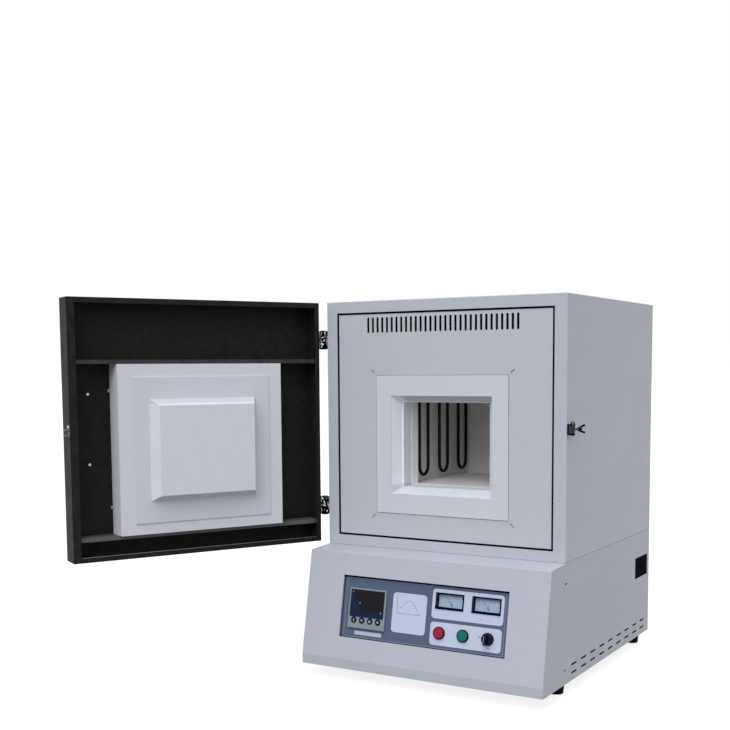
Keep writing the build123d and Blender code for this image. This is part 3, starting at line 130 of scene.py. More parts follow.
class Shader:
    """A node tree with a Principled shader, and short ways to add to it."""

    def __init__(self, name):
        self.material = bpy.data.materials.new(name)
        self.material.use_nodes = True
        self.tree = self.material.node_tree
        self.principled = self.tree.nodes["Principled BSDF"]
        self.place = self.add("ShaderNodeTexCoord").outputs["Object"]

    def add(self, kind, **values):
        """A new node. values are its settings."""
        node = self.tree.nodes.new(kind)
        for key, value in values.items():
            setattr(node, key, value)
        return node

    def link(self, source, target):
        """Joins an output to an input."""
        self.tree.links.new(source, target)

    def set(self, **values):
        """Constants on the Principled shader's own sockets."""
        for key, value in values.items():
            self.principled.inputs[key.replace("_", " ")].default_value = value

    def feed(self, **sources):
        """Outputs linked to the Principled shader's sockets."""
        for key, source in sources.items():
            self.link(source, self.principled.inputs[key.replace("_", " ")])

    def noise(self, scale, detail=4.0, rough=0.55, stretch=None):
        """Noise at a number of features per metre, stretched along an axis if asked."""
        node = self.add("ShaderNodeTexNoise")
        node.inputs["Scale"].default_value = scale
        node.inputs["Detail"].default_value = detail
        node.inputs["Roughness"].default_value = rough
        source = self.place
        if stretch:
            mapping = self.add("ShaderNodeMapping")
            mapping.inputs["Scale"].default_value = stretch
            self.link(source, mapping.inputs["Vector"])
            source = mapping.outputs["Vector"]
        self.link(source, node.inputs["Vector"])
        return node.outputs["Fac"]

    def ramp(self, factor, stops):
        """A colour ramp from (position, colour) stops."""
        node = self.add("ShaderNodeValToRGB")
        elements = node.color_ramp.elements
        while len(elements) < len(stops):
            elements.new(0.5)
        for element, (position, colour) in zip(elements, stops):
            element.position = position
            element.color = colour
        self.link(factor, node.inputs["Fac"])
        return node.outputs["Color"]

    def mix(self, factor, first, second, blend="MIX"):
        """Two colours mixed. factor, first and second are sockets or values."""
        node = self.add("ShaderNodeMix", data_type="RGBA", blend_type=blend)
        for socket, value in ((node.inputs[0], factor), (node.inputs[6], first), (node.inputs[7], second)):
            if isinstance(value, bpy.types.NodeSocket):
                self.link(value, socket)
            else:
                socket.default_value = value
        return node.outputs[2]

    def remap(self, source, start, end, low, high):
        """A value mapped from one range to another."""
        node = self.add("ShaderNodeMapRange")
        for key, value in (("From Min", start), ("From Max", end), ("To Min", low), ("To Max", high)):
            node.inputs[key].default_value = value
        self.link(source, node.inputs["Value"])
        return node.outputs["Result"]

    def span(self, noise, low, high):
        """A noise mapped to a range of values."""
        return self.remap(noise, noise_low, noise_high, low, high)

    def along(self, axis, start, end):
        """A factor that goes from 0 to 1 between two places along X, Y or Z, in millimetres."""
        parts = self.add("ShaderNodeSeparateXYZ")
        self.link(self.place, parts.inputs["Vector"])
        return self.remap(parts.outputs[axis], mm(start), mm(end), 0.0, 1.0)

    def product(self, first, second):
        """Two factors multiplied."""
        node = self.add("ShaderNodeMath", operation="MULTIPLY")
        self.link(first, node.inputs[0])
        self.link(second, node.inputs[1])
        return node.outputs["Value"]

    def zoned(self, zone, tone, other):
        """tone, changing to other within a zone of (axis, start, end) spans in millimetres."""
        share = self.along(*zone[0])
        for stretch in zone[1:]:
            share = self.product(share, self.along(*stretch))
        return self.mix(share, tone, other)

    def bump(self, height, strength, distance):
        """Adds a bump on top of any bump that is there already. distance is in millimetres."""
        node = self.add("ShaderNodeBump")
        node.inputs["Strength"].default_value = strength
        node.inputs["Distance"].default_value = mm(distance)
        self.link(height, node.inputs["Height"])
        before = self.principled.inputs["Normal"].links
        if before:
            self.link(before[0].from_socket, node.inputs["Normal"])
        self.feed(Normal=node.outputs["Normal"])

    def edge_wear_and_glint(self, colour, worn_and_glint_tone, amount):
        """Lightens the crests of the shape: wear where handling polishes them, and a painted highlight
        along the edges.
        """
        crests = self.ramp(self.add("ShaderNodeNewGeometry").outputs["Pointiness"],
                           [(0.52, grey(0)), (0.60, grey(1))])
        patches = self.ramp(self.noise(60.0), [(0.35, grey(0)), (0.65, grey(amount))])
        return self.mix(self.mix(1.0, crests, patches, "MULTIPLY"), colour, worn_and_glint_tone)

    def surface(self, factor, first, second):
        """Makes the surface a mix of two shaders."""
        mixer = self.add("ShaderNodeMixShader")
        for source, socket in zip((factor, first, second), mixer.inputs):
            self.link(source, socket)
        self.link(mixer.outputs["Shader"], self.tree.nodes["Material Output"].inputs["Surface"])


def painted(name, colour, rough=0.5, grain=1.0, wear_and_glint=None, shine=0.5, painted_lit_tone=None, zone=()):
    """Powder coat: orange peel, a faint cloudiness and a slight change of gloss, and if asked a
    lighter tone painted in a zone, standing in for light that falls there."""
    s = Shader(name)
    cloud = s.noise(5.0, detail=3.0)
    tone = s.ramp(cloud, shades(colour, 0.014))
    # A lighter tone in a zone: painted light
    if painted_lit_tone:
        tone = s.zoned(zone, tone, s.ramp(cloud, shades(painted_lit_tone, 0.05)))
    # Crests lightened for wear and as a painted highlight along the edges
    if wear_and_glint:
        tone = s.edge_wear_and_glint(tone, wear_and_glint, amount=0.35)
    s.feed(Base_Color=tone, Roughness=s.span(s.noise(38.0, detail=3.0), rough - 0.05, rough + 0.06))
    s.set(IOR=1.5, Specular_IOR_Level=shine)
    s.bump(s.noise(750.0, detail=2.0), strength=0.16 * grain, distance=0.10)
    s.bump(s.noise(2600.0, detail=2.0), strength=0.10 * grain, distance=0.04)
    return s.material


def ceramic(name, colour, spread=0.012, painted_light_tone=None, zone=()):
    """Pressed ceramic fibre: matted fibres, small pits, chalky all over, and if asked a lighter or
    darker tone painted in a zone, standing in for light or shade there."""
    s = Shader(name)
    mottle = s.noise(45.0, detail=5.0, rough=0.6)
    tone = s.ramp(mottle, shades(colour, spread))
    # A tone in a zone: painted light where it is lighter, painted shade where it is darker
    if painted_light_tone:
        tone = s.zoned(zone, tone, s.ramp(mottle, shades(painted_light_tone, spread)))
    pits = s.ramp(s.noise(900.0, detail=2.0), [(0.26, (0.92, 0.91, 0.90, 1)), (0.33, grey(1))])
    s.feed(Base_Color=s.mix(1.0, tone, pits, "MULTIPLY"))
    s.set(Roughness=0.92, IOR=1.45, Specular_IOR_Level=0.25)
    s.bump(s.noise(520.0, rough=0.6, stretch=(1.0, 0.25, 0.25)), strength=0.20, distance=0.25)
    s.bump(s.noise(480.0, rough=0.6, stretch=(0.25, 1.0, 1.0)), strength=0.18, distance=0.25)
    s.bump(s.noise(90.0, detail=3.0), strength=0.10, distance=0.5)
    return s.material


def moulded(name, colour, rough=0.42, texture=1.0, shine=0.5):
    """Injection moulded plastic with a fine spark-eroded grain."""
    s = Shader(name)
    s.feed(Base_Color=s.ramp(s.noise(30.0, detail=3.0), shades(colour, 0.05)),
           Roughness=s.span(s.noise(120.0, detail=3.0), rough - 0.04, rough + 0.06))
    s.set(IOR=1.49, Specular_IOR_Level=shine)
    s.bump(s.noise(3200.0, detail=2.0), strength=0.18 * texture, distance=0.03)
    return s.material


def metal(name, colour, rough, brushed=None):
    """Bare metal, brushed along an axis if asked, with a fine scatter of gloss."""
    s = Shader(name)
    grain = s.noise(900.0, detail=3.0, rough=0.6, stretch=brushed)
    s.feed(Base_Color=s.ramp(s.noise(55.0), [(noise_low, toned(colour, 0.88)), (noise_high, colour)]),
           Roughness=s.span(grain, rough * 0.8, rough * 1.3))
    s.set(Metallic=1.0)
    s.bump(grain, strength=0.125, distance=0.05)
    return s.material


def rubber(name, colour, bloom, shine=0.1):
    """Matte rubber with a dusty bloom."""
    s = Shader(name)
    s.feed(Base_Color=s.ramp(s.noise(140.0, detail=5.0), [(0.35, colour), (0.75, bloom)]))
    s.set(Roughness=0.85, Specular_IOR_Level=shine)
    s.bump(s.noise(1500.0, detail=3.0), strength=0.4, distance=0.08)
    return s.material


def printed(name, colour, shine=0.3):
    """A printed film with a fine matte grain and barely uneven ink."""
    s = Shader(name)
    s.feed(Base_Color=s.ramp(s.noise(70.0, detail=5.0), shades(colour, 0.03)),
           Roughness=s.span(s.noise(300.0, detail=2.0), 0.50, 0.60))
    s.set(Specular_IOR_Level=shine)
    s.bump(s.noise(4000.0, detail=1.0), strength=0.1, distance=0.02)
    return s.material


def glint_flecked_fitting(name, colour, bare, glint_coverage):
    """Black lacquer on a small fitting, with small pale patches painted on as glints."""
    s = Shader(name)
    # Where the pale patches go: painted glints on the lacquer
    start = 0.70 - glint_coverage
    glint_patches = s.ramp(s.noise(230.0, detail=1.0, rough=0.5), [(start, grey(0)), (start + 0.03, grey(1))])
    lacquer = s.ramp(s.noise(90.0, detail=3.0), shades(colour, 0.2))
    s.feed(Base_Color=s.mix(glint_patches, lacquer, bare),
           Roughness=s.span(s.noise(150.0, detail=3.0), 0.30, 0.42))
    s.set(Specular_IOR_Level=0.01)
    s.bump(s.noise(1200.0, detail=2.0), strength=0.15, distance=0.05)
    return s.material


def window_glass(name):
    """A thin clear window: see-through head on, glossier at a slant."""
    s = Shader(name)
    s.feed(Roughness=s.span(s.noise(200.0, detail=3.0), 0.04, 0.09))
    s.set(Base_Color=(0.30, 0.34, 0.40, 1))
    clear = s.add("ShaderNodeBsdfTransparent")
    clear.inputs["Color"].default_value = (0.97, 0.98, 0.98, 1)
    slant = s.add("ShaderNodeFresnel")
    slant.inputs["IOR"].default_value = 1.2
    s.surface(slant.outputs["Fac"], clear.outputs["BSDF"], s.principled.outputs["BSDF"])
    return s.material


def glazed_rod(name, hot_end, cold_end):
    """A heating rod under its dark glaze, paler towards its cold end."""
    s = Shader(name)
    glaze = s.ramp(s.noise(160.0, detail=5.0), [(noise_low, srgb(8, 8, 8)), (noise_high, srgb(20, 18, 18))])
    s.feed(Base_Color=s.mix(s.along("Z", hot_end, cold_end), glaze, srgb(120, 118, 116)),
           Roughness=s.span(s.noise(90.0, detail=3.0), 0.45, 0.6))
    s.set(Specular_IOR_Level=0.1)
    s.bump(s.noise(700.0, detail=3.0), strength=0.3, distance=0.1)
    return s.material


def layered(name, axis, scale, dark, light, rough, metallic, strength, distance, uneven=0.0):
    """Fine layers stacked along an axis, such as turns of wire or thin sheets."""
    s = Shader(name)
    layers = s.add("ShaderNodeTexWave", bands_direction=axis)
    layers.inputs["Scale"].default_value = scale
    layers.inputs["Distortion"].default_value = uneven
    s.link(s.place, layers.inputs["Vector"])
    s.feed(Base_Color=s.ramp(layers.outputs["Fac"], [(0.2, dark), (0.8, light)]))
    s.set(Roughness=rough, Metallic=metallic)
    s.bump(layers.outputs["Fac"], strength, distance)
    return s.material


# Where a look changes to a tone painted in for light or shade: axis, start and end of each change
# Painted light: the lower crossbar painted lighter, as if lit
lower_bar = [("Z", 500.0, 400.0)]
# Painted shade: the door plug's top painted darker, against the light falling on it
plug_top = [("Z", 636.0, 639.0)]
# Painted light: the left wall inside the mouth painted lighter
mouth_left = [("X", -99.0, -103.0), ("Y", front + 0.5, front + 3.0), ("Z", 436.0, 446.0)]
# Painted light: the chamber painted lighter towards the mouth and the floor
chamber_near_floor = [("Y", front + 200.0, front + 100.0), ("Z", 650.0, 500.0)]
rod_hot_end = seam + 343.0
rod_cold_end = seam + 420.0

looks = {
    "casing": painted("casing paint", srgb(179, 183, 194)),
    "panel": painted("front panel paint", srgb(183, 187, 195), grain=0.9),
    "base": painted("base paint", srgb(175, 179, 191)),
    # Door paint: its crests lightened for wear and as a painted highlight along the edges
    "door": painted("door paint", srgb(31, 31, 31), rough=0.5, wear_and_glint=srgb(58, 57, 56), shine=0.05),
    # Crossbar paint: crests lightened for wear and as a painted highlight, and the lower bar painted
    # lighter as if lit
    "bars": painted("crossbar paint", srgb(36, 35, 35), rough=0.4, wear_and_glint=srgb(70, 69, 68), shine=0.25,
                    painted_lit_tone=srgb(92, 91, 89), zone=lower_bar),
    "keeper": painted("keeper paint", srgb(96, 96, 98), rough=0.45, shine=0.3),
    # A painted highlight along the door tray's lower flange
    "bare": metal("painted edge highlight", srgb(112, 112, 114), rough=0.5),
    # Fittings and hinges: pale patches painted on as glints
    "fittings": glint_flecked_fitting("black fittings", srgb(14, 14, 18), srgb(196, 198, 202), glint_coverage=0.0),
    "hinges": glint_flecked_fitting("hinge lacquer", srgb(4, 4, 7), srgb(226, 228, 232), glint_coverage=0.09),
    "plated": metal("plated steel", srgb(54, 55, 59), rough=0.34),
    "board": ceramic("ceramic board", srgb(211, 214, 222)),
    "pad": ceramic("sealing pad", srgb(206, 209, 218)),
    # Door plug: its top painted darker, a painted shade
    "plug": ceramic("door plug", srgb(214, 217, 226), painted_light_tone=srgb(196, 199, 208), zone=plug_top),
    # Collar board: the left wall inside the mouth painted lighter, a painted light
    "collar": ceramic("collar board", srgb(200, 205, 214), painted_light_tone=srgb(230, 234, 241), zone=mouth_left),
    # Chamber boards: painted lighter towards the mouth and the floor, a painted light
    "chamber": ceramic("chamber board", srgb(230, 228, 225), spread=0.03, painted_light_tone=srgb(248, 248, 250),
                       zone=chamber_near_floor),
    "hearth": ceramic("chamber floor board", srgb(232, 232, 233), spread=0.03),
    "rods": glazed_rod("glazed rods", rod_hot_end, rod_cold_end),
    "strap": metal("aluminium strap", srgb(205, 207, 210), rough=0.35, brushed=(0.1, 1.0, 1.0)),
    "bright": metal("bright steel", srgb(178, 178, 181), rough=0.26),
    "rubber": rubber("foot rubber", srgb(4, 4, 4), srgb(26, 25, 24)),
    "slate": printed("slate film", srgb(83, 95, 121), shine=0.1),
    "card": printed("pale film", srgb(185, 194, 217)),
    "strip": printed("label film", srgb(178, 185, 206)),
    "ink": printed("dark ink", srgb(44, 48, 66)),
    "line": printed("light ink", srgb(142, 149, 172)),
    "scale": printed("scale ink", srgb(128, 140, 172)),
    # A matte black for dark pieces that stand in for shade
    "painted_shade": rubber("painted shade black", srgb(8, 8, 12), srgb(16, 16, 20), shine=0.0),
    "controller": moulded("controller bezel", srgb(124, 135, 142)),
    "screen": moulded("dark screen", srgb(14, 32, 58), rough=0.12, texture=0.0, shine=0.12),
    # A painted reflection on the controller's screen
    "reflection_tint": moulded("painted screen reflection", srgb(24, 20, 26), rough=0.15, texture=0.0, shine=0.12),
    "lamp": printed("pale symbols", srgb(176, 184, 200)),
    "white": printed("white mark", srgb(172, 178, 192)),
    "keys": moulded("controller keys", srgb(7, 12, 30), rough=0.35, shine=0.12),
    "black": moulded("black plastic", srgb(8, 9, 18), shine=0.1),
    "mask": moulded("meter frame plastic", srgb(4, 7, 32), rough=0.6, shine=0.0),
    "breaker": moulded("breaker plastic", srgb(27, 25, 30), rough=0.6, shine=0.0),
    "knob": moulded("knob plastic", srgb(8, 14, 38), rough=0.28, shine=0.15),
    "red": moulded("red plastic", srgb(158, 30, 54), rough=0.3, shine=0.15),
    "green": moulded("green plastic", srgb(6, 108, 96), rough=0.3, shine=0.15),
    "dial": printed("dial card", srgb(188, 206, 234), shine=0.1),
    "needle": moulded("needle lacquer", srgb(150, 162, 190)),
    "window": window_glass("meter window"),
    "winding": layered("winding", "Z", 95.0, srgb(92, 44, 18), srgb(178, 98, 48),
                       rough=0.35, metallic=0.4, strength=0.6, distance=0.6, uneven=0.4),
    "core": layered("core laminations", "Y", 320.0, srgb(52, 50, 52), srgb(96, 94, 96),
                    rough=0.5, metallic=0.7, strength=0.3, distance=0.15),
    "cream": moulded("cream plastic", srgb(214, 208, 190)),
}

node_looks = {
    "casing": ("upper_casing", "rear_covers", "deck_plate", "base_plate"),
    "panel": ("front_panel",),
    "base": ("base_casing",),
    "door": ("door_tray",),
    "bars": ("door_crossbars",),
    "fittings": ("latch_bracket", "latch_pin", "wing_nut"),
    "hinges": ("hinge_frame_leaves", "hinge_door_leaves", "hinge_pins"),
    "plated": ("latch_bolt",),
    "keeper": ("latch_keeper",),
    "board": ("door_slab", "insulation_boards", "element_clamps"),
    "pad": ("door_seal_pad",),
    "plug": ("door_plug",),
    "collar": ("throat_collar",),
    "chamber": ("chamber_front_wall", "chamber_side_walls", "chamber_roof", "chamber_rear_wall"),
    "hearth": ("chamber_floor",),
    "rods": ("heating_elements",),
    "strap": ("element_straps", "heat_sink"),
    "bright": ("thermocouple", "door_screws", "cabinet_screws", "door_slab_tabs"),
    "rubber": ("feet",),
    "slate": ("control_fascia",),
    "controller": ("controller_case",),
    "screen": ("controller_screen",),
    "keys": tuple(f"controller_key_{i}" for i in range(1, 5)),
    "black": ("fan_frame", "fan_rotor", "cable_gland", "power_regulator", "switch_bodies"),
    "mask": ("meter_cases",),
    "breaker": ("main_breaker", "breaker_toggle"),
    "knob": ("selector_knob",),
    "red": ("stop_button",),
    "green": ("start_button",),
    "dial": ("meter_dials",),
    "needle": ("voltmeter_needle", "ammeter_needle"),
    "window": ("meter_windows",),
    "winding": ("transformer_coil",),
    "core": ("transformer_core",),
    "cream": ("terminal_block",),
}
for look, names in node_looks.items():
    for name in names:
        materials = nodes[name].data.materials
        materials.clear()
        materials.append(looks[look])

# Ways to build a piece


def finish_piece(name, bm, look, body="cabinet"):
    """Turns a bmesh into a piece that rides on a body."""
    bmesh.ops.recalc_face_normals(bm, faces=bm.faces)
    mesh = bpy.data.meshes.new(name)
    bm.to_mesh(mesh)
    bm.free()
    piece = bpy.data.objects.new(name, mesh)
    bpy.context.scene.collection.objects.link(piece)
    mesh.materials.append(looks[look])
    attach(piece, body)


def on_slope(across, down, lift):
    """A point of the sloped front, in metres."""
    return slope_frame @ Vector(mm(across, -down, lift))


def rounded(left, top, right, bottom, radius, steps=6):
    """Corner points of a rounded rectangle, across and down."""
    points = []
    for x, y, start in ((right - radius, top + radius, -90), (right - radius, bottom - radius, 0),
                        (left + radius, bottom - radius, 90), (left + radius, top + radius, 180)):
        for i in range(steps + 1):
            turn = math.radians(start + 90 * i / steps)
            points.append((x + radius * math.cos(turn), y + radius * math.sin(turn)))
    return points


def circle(middle, radius, steps=40):
    """Corner points of a circle, across and down."""
    turns = [2 * math.pi * i / steps for i in range(steps)]
    return [(middle[0] + radius * math.cos(turn), middle[1] + radius * math.sin(turn)) for turn in turns]


def shifted(points, middle):
    """Points given from a middle, as places across and down the slope."""
    return [(middle[0] + x, middle[1] + y) for x, y in points]


def film(bm, outline, low, high, holes=()):
    """A thin plate of any outline on the slope, with holes if asked."""
    sheets = {low: [], high: []}
    for loop in (outline, *holes):
        under, over = [[bm.verts.new(on_slope(x, y, level)) for x, y in loop] for level in (low, high)]
        for i in range(len(loop)):
            j = (i + 1) % len(loop)
            bm.faces.new((under[i], under[j], over[j], over[i]))
            sheets[low].append(bm.edges.get((under[i], under[j])))
            sheets[high].append(bm.edges.get((over[i], over[j])))
    for edges in sheets.values():
        bmesh.ops.triangle_fill(bm, edges=edges, use_beauty=True)


def ribbon(bm, points, width, low, high):
    """A line of some width through points on the slope, a quarter of it past each end."""
    for (ax, ay), (bx, by) in zip(points, points[1:]):
        length = math.hypot(bx - ax, by - ay)
        nx, ny = (ay - by) / length * width / 2, (bx - ax) / length * width / 2
        ex, ey = (bx - ax) / length * width / 4, (by - ay) / length * width / 4
        film(bm, [(ax + nx - ex, ay + ny - ey), (bx + nx + ex, by + ny + ey),
                  (bx - nx + ex, by - ny + ey), (ax - nx - ex, ay - ny - ey)], low, high)


def block(bm, low, high):
    """A box between two corners: across, depth behind the cabinet front, height."""
    verts = [bm.verts.new(Vector(mm(x, front + depth, z)))
             for x in (low[0], high[0]) for depth in (low[1], high[1]) for z in (low[2], high[2])]
    for a, b, c, d in ((0, 1, 3, 2), (4, 5, 7, 6), (0, 1, 5, 4), (2, 3, 7, 6), (0, 2, 6, 4), (1, 3, 7, 5)):
        bm.faces.new((verts[a], verts[b], verts[c], verts[d]))


# Print on the control panel. Places are across from the slope's middle and down from its upper edge,
# levels are above its face, and rounded rectangles are left, top, right, bottom and corner radius.
film_top = fascia_lift + 0.15
ink_top = film_top + 0.05
border_top_face = fascia_lift + 0.1

card_corner = 8.0
curve_card = (-72.5, 79.0, 13.0, 167.5, card_corner)
meter_card = (26.0, 61.3, 197.5, 126.0, card_corner)
switch_card = (26.0, 133.5, 196.7, 184.0, card_corner)
label_strip = (-166.5, 175.5, -96.0, 184.0, 1.5)
border_frame = (-195.3, 56.0, 201.4, 190.0, 3.0)
border_width = 0.8

meter_centres = ((68.2, 87.1), (156.3, 87.1))
meter_half = (34.25, 18.2)
meter_corner = 0.5
switch_centres = ((48.9, 157.2), (106.2, 157.0), (165.4, 156.9))
bezel_radius = 13.9
selector_centre = switch_centres[2]

curve_axes = [(-61.3, 88.5), (-60.0, 124.9), (-1.0, 124.9)]
curve_points = [(-52.0, 114.0), (-46.5, 107.0), (-41.3, 101.5), (-36.0, 97.6), (-31.0, 95.8), (-26.5, 96.0),
                (-22.0, 98.5), (-17.0, 104.5), (-12.0, 112.5), (-7.5, 119.5), (-4.0, 124.6)]
axis_width = 0.7
curve_width = 0.6

# A short bar below each meter, with its width
meter_bars = (([(52.5, 115.5), (68.5, 115.5)], 0.5), ([(142.0, 118.0), (149.0, 118.0)], 1.3))

# The selector's marks and the pale line along its grip, from its centre
mark_lines = ([(-22.0, -2.4), (-18.0, -2.4)], [(0.0, 18.9), (4.0, 18.9)])
mark_width = 1.6
# A pale line along the left of the selector's grip
pale_line_points = [(-1.8, -6.4), (-1.8, 9.1)]
pale_line_width = 0.8
pale_line_thickness = 0.08


def panel_cards():
    """Three pale cards, cut out round the meters and the switches."""
    across, down = meter_half
    meter_holes = [rounded(x - across, y - down, x + across, y + down, meter_corner)
                   for x, y in meter_centres]
    switch_holes = [circle(middle, bezel_radius) for middle in switch_centres]
    cards = bmesh.new()
    for card, holes in ((curve_card, ()), (meter_card, meter_holes), (switch_card, switch_holes)):
        film(cards, rounded(*card), fascia_lift, film_top, holes)
    finish_piece("panel_cards", cards, "card")


def panel_strip():
    """The bare label strip below the controller."""
    strip = bmesh.new()
    film(strip, rounded(*label_strip), fascia_lift, film_top)
    finish_piece("panel_strip", strip, "strip")


def panel_border():
    """A thin pale line round the whole panel."""
    border = bmesh.new()
    line = rounded(*border_frame)
    ribbon(border, line + line[:1], border_width, fascia_lift, border_top_face)
    finish_piece("panel_border", border, "line")


def panel_curve():
    """A plain curve over two axes."""
    curve = bmesh.new()
    ribbon(curve, curve_axes, axis_width, film_top, ink_top)
    ribbon(curve, curve_points, curve_width, film_top, ink_top)
    finish_piece("panel_curve", curve, "ink")


def selector_marks():
    """A mark beside the selector and one below it, for its two ends."""
    marks = bmesh.new()
    for line in mark_lines:
        ribbon(marks, shifted(line, selector_centre), mark_width, film_top, ink_top)
    finish_piece("selector_marks", marks, "ink")


def panel_captions():
    """A short plain bar below each meter."""
    captions = bmesh.new()
    for line, width in meter_bars:
        ribbon(captions, line, width, film_top, ink_top)
    finish_piece("panel_captions", captions, "line")


def selector_pale_line():
    """The pale line on the selector's grip."""
    pale_line = bmesh.new()
    ribbon(pale_line, shifted(pale_line_points, selector_centre), pale_line_width, grip_face, grip_face + pale_line_thickness)
    finish_piece("selector_pale_line", pale_line, "white", "selector_body")


# Dark strips round the control panel's opening, a painted shadow: its opening, and the width and height of
# each side's strip
panel_opening = (-202.9, 52.1, 208.9, 192.4)
gap_widths = {"left": 0.7, "top": 3.3, "right": 0.8, "bottom": 1.0}
gap_heights = {"left": 2.0, "top": 2.0, "right": 1.0, "bottom": 1.0}
gap_corner = 0.3


def panel_gap_shadow():
    """Dark strips between the panel and the edges of its opening, standing in for the shadow there."""
    left, top, right, bottom = panel_opening
    inner_left = left + gap_widths["left"]
    inner_top = top + gap_widths["top"]
    inner_right = right - gap_widths["right"]
    inner_bottom = bottom - gap_widths["bottom"]
    strips = {
        "top": (left, top, right, inner_top),
        "left": (left, inner_top, inner_left, bottom),
        "bottom": (inner_left, inner_bottom, right, bottom),
        "right": (inner_right, inner_top, right, inner_bottom),
    }
    painted_shade = bmesh.new()
    for side, strip in strips.items():
        film(painted_shade, rounded(*strip, gap_corner), fascia_lift, fascia_lift + gap_heights[side])
    finish_piece("panel_gap_shadow", painted_shade, "painted_shade")


# Display and keys of the controller
screen_face = -0.6
reflection_top = screen_face + 0.06
lamp_top = reflection_top + 0.05
key_face = 1.2
symbol_top = key_face + 0.06

# Outline of the darker area on the screen, a painted reflection
reflection_outline = [(-169.5, 84.0), (-93.0, 84.0), (-93.0, 130.5), (-153.5, 130.5), (-153.5, 107.5),
                   (-169.5, 107.5)]
status_lamp = (-176.0, 86.4, -174.0, 88.4, 0.9)
segment_dot = (-156.3, 110.5, -153.9, 113.1, 1.1)
segment_bar = (-100.2, 127.0, -99.2, 132.5, 0.4)

first_key = (-167.5, 151.0)
key_pitch = 21.0
symbol_width = 1.4
key_symbols = (
    [(1.6, -3.2), (-1.4, 0.4), (1.8, 3.6)],
    [(-2.4, -2.6), (0.4, 2.8), (2.4, -2.4)],
    [(-2.4, 2.4), (0.0, -2.8), (2.6, 2.4), (-2.4, 2.4)],
    [(-2.2, 0.6), (-0.2, -2.2), (2.2, 0.0), (0.2, 2.4), (-2.2, 0.6)])


def screen_reflection():
    """A darker brownish area on the screen, a painted reflection."""
    reflection_tint = bmesh.new()
    film(reflection_tint, reflection_outline, screen_face, reflection_top)
    finish_piece("screen_reflection", reflection_tint, "reflection_tint")


def display_lamps():
    """A status lamp beside the darker area, and two lit specks on the screen."""
    lamps = bmesh.new()
    film(lamps, rounded(*status_lamp), screen_face, reflection_top)
    film(lamps, rounded(*segment_dot), reflection_top, lamp_top)
    film(lamps, rounded(*segment_bar), reflection_top, lamp_top)
    finish_piece("display_lamps", lamps, "lamp")


def symbols_on_keys():
    """A simple stroke on each of the four keys."""
    for number, stroke in enumerate(key_symbols):
        middle = (first_key[0] + key_pitch * number, first_key[1])
        symbol = bmesh.new()
        ribbon(symbol, shifted(stroke, middle), symbol_width, key_face, symbol_top)
        finish_piece(f"key_symbol_{number + 1}", symbol, "lamp", f"key_{number + 1}_body")


# Meter scales. Ticks are a length and a width, and long_tick_every counts the ticks.
dial_lift = -17.0
scale_top = dial_lift + 0.05
letter_top = dial_lift + 0.06
pivot_drop = 7.0
scale_radius = 20.5
scale_half = 42.0
scale_steps = 24
scale_width = 0.3
tick_steps = 20
long_tick_every = 5
long_tick = (2.6, 0.35)
short_tick = (1.5, 0.2)
letter_drop = 1.5
letter_width = 0.9
meter_letter_strokes = (
    [[(-1.7, -2.0), (0.0, 2.0), (1.7, -2.0)]],
    [[(-1.7, 2.0), (0.0, -2.0), (1.7, 2.0)], [(-1.0, 0.7), (1.0, 0.7)]])


def dial_point(centre, radius, share):
    """A point of a meter's scale, at a share of the needle's swing."""
    turn = math.radians(scale_half * (2 * share - 1))
    return centre[0] + radius * math.sin(turn), centre[1] + pivot_drop - radius * math.cos(turn)


def meter_scales():
    """An arc with ticks on each dial."""
    scales = bmesh.new()
    for centre in meter_centres:
        arc = [dial_point(centre, scale_radius, i / scale_steps) for i in range(scale_steps + 1)]
        ribbon(scales, arc, scale_width, dial_lift, scale_top)
        for i in range(tick_steps + 1):
            length, width = short_tick if i % long_tick_every else long_tick
            radii = (scale_radius, scale_radius + length)
            tick = [dial_point(centre, radius, i / tick_steps) for radius in radii]
            ribbon(scales, tick, width, dial_lift, scale_top)
    finish_piece("meter_scales", scales, "scale")


def meter_letters():
    """The unit's letter on each dial."""
    letters = bmesh.new()
    for centre, strokes in zip(meter_centres, meter_letter_strokes):
        for stroke in strokes:
            points = shifted(stroke, (centre[0], centre[1] + letter_drop))
            ribbon(letters, points, letter_width, dial_lift, letter_top)
    finish_piece("meter_letters", letters, "scale")


# Dark pieces standing in for shade: in the gap round the front panel, behind its vents and in the base's
# side slots
side_clearance = 0.1
gap_shade_depths = (0.7, 8.0)
vent_shade_side = 205.0
vent_shade_depths = (6.5, 7.5)
vent_shade_heights = (785.0, 834.0)
slot_shade_insets = (1.8, 0.5)
slot_count = 9
slot_start = 57.0
slot_pitch = 60.6
slot_length = 33.0
slot_height = 4.5
slot_levels = (45.0, 63.5)


def front_panel_gap_shade():
    """Dark strips in the gap between the front panel and the cabinet's border, standing in for the shade in
    it.
    """
    opening_side = half_width - border_side - side_clearance
    opening_top = cabinet_top - border_top - side_clearance
    opening_bottom = seam + border_bottom + side_clearance
    strip_width = panel_gap - 2 * side_clearance
    panel_side = opening_side - strip_width
    near, far = gap_shade_depths
    gap_shade = bmesh.new()
    for left in (-opening_side, panel_side):
        block(gap_shade, (left, near, opening_bottom), (left + strip_width, far, opening_top))
    for bottom in (opening_top - strip_width, opening_bottom):
        block(gap_shade, (-panel_side, near, bottom), (panel_side, far, bottom + strip_width))
    finish_piece("front_panel_gap_shade", gap_shade, "painted_shade")


def vent_shade():
    """A dark sheet behind the front panel's vents, standing in for the shade behind them."""
    vent_shade_sheet = bmesh.new()
    block(vent_shade_sheet, (-vent_shade_side, vent_shade_depths[0], vent_shade_heights[0]),
          (vent_shade_side, vent_shade_depths[1], vent_shade_heights[1]))
    finish_piece("vent_shade", vent_shade_sheet, "painted_shade")


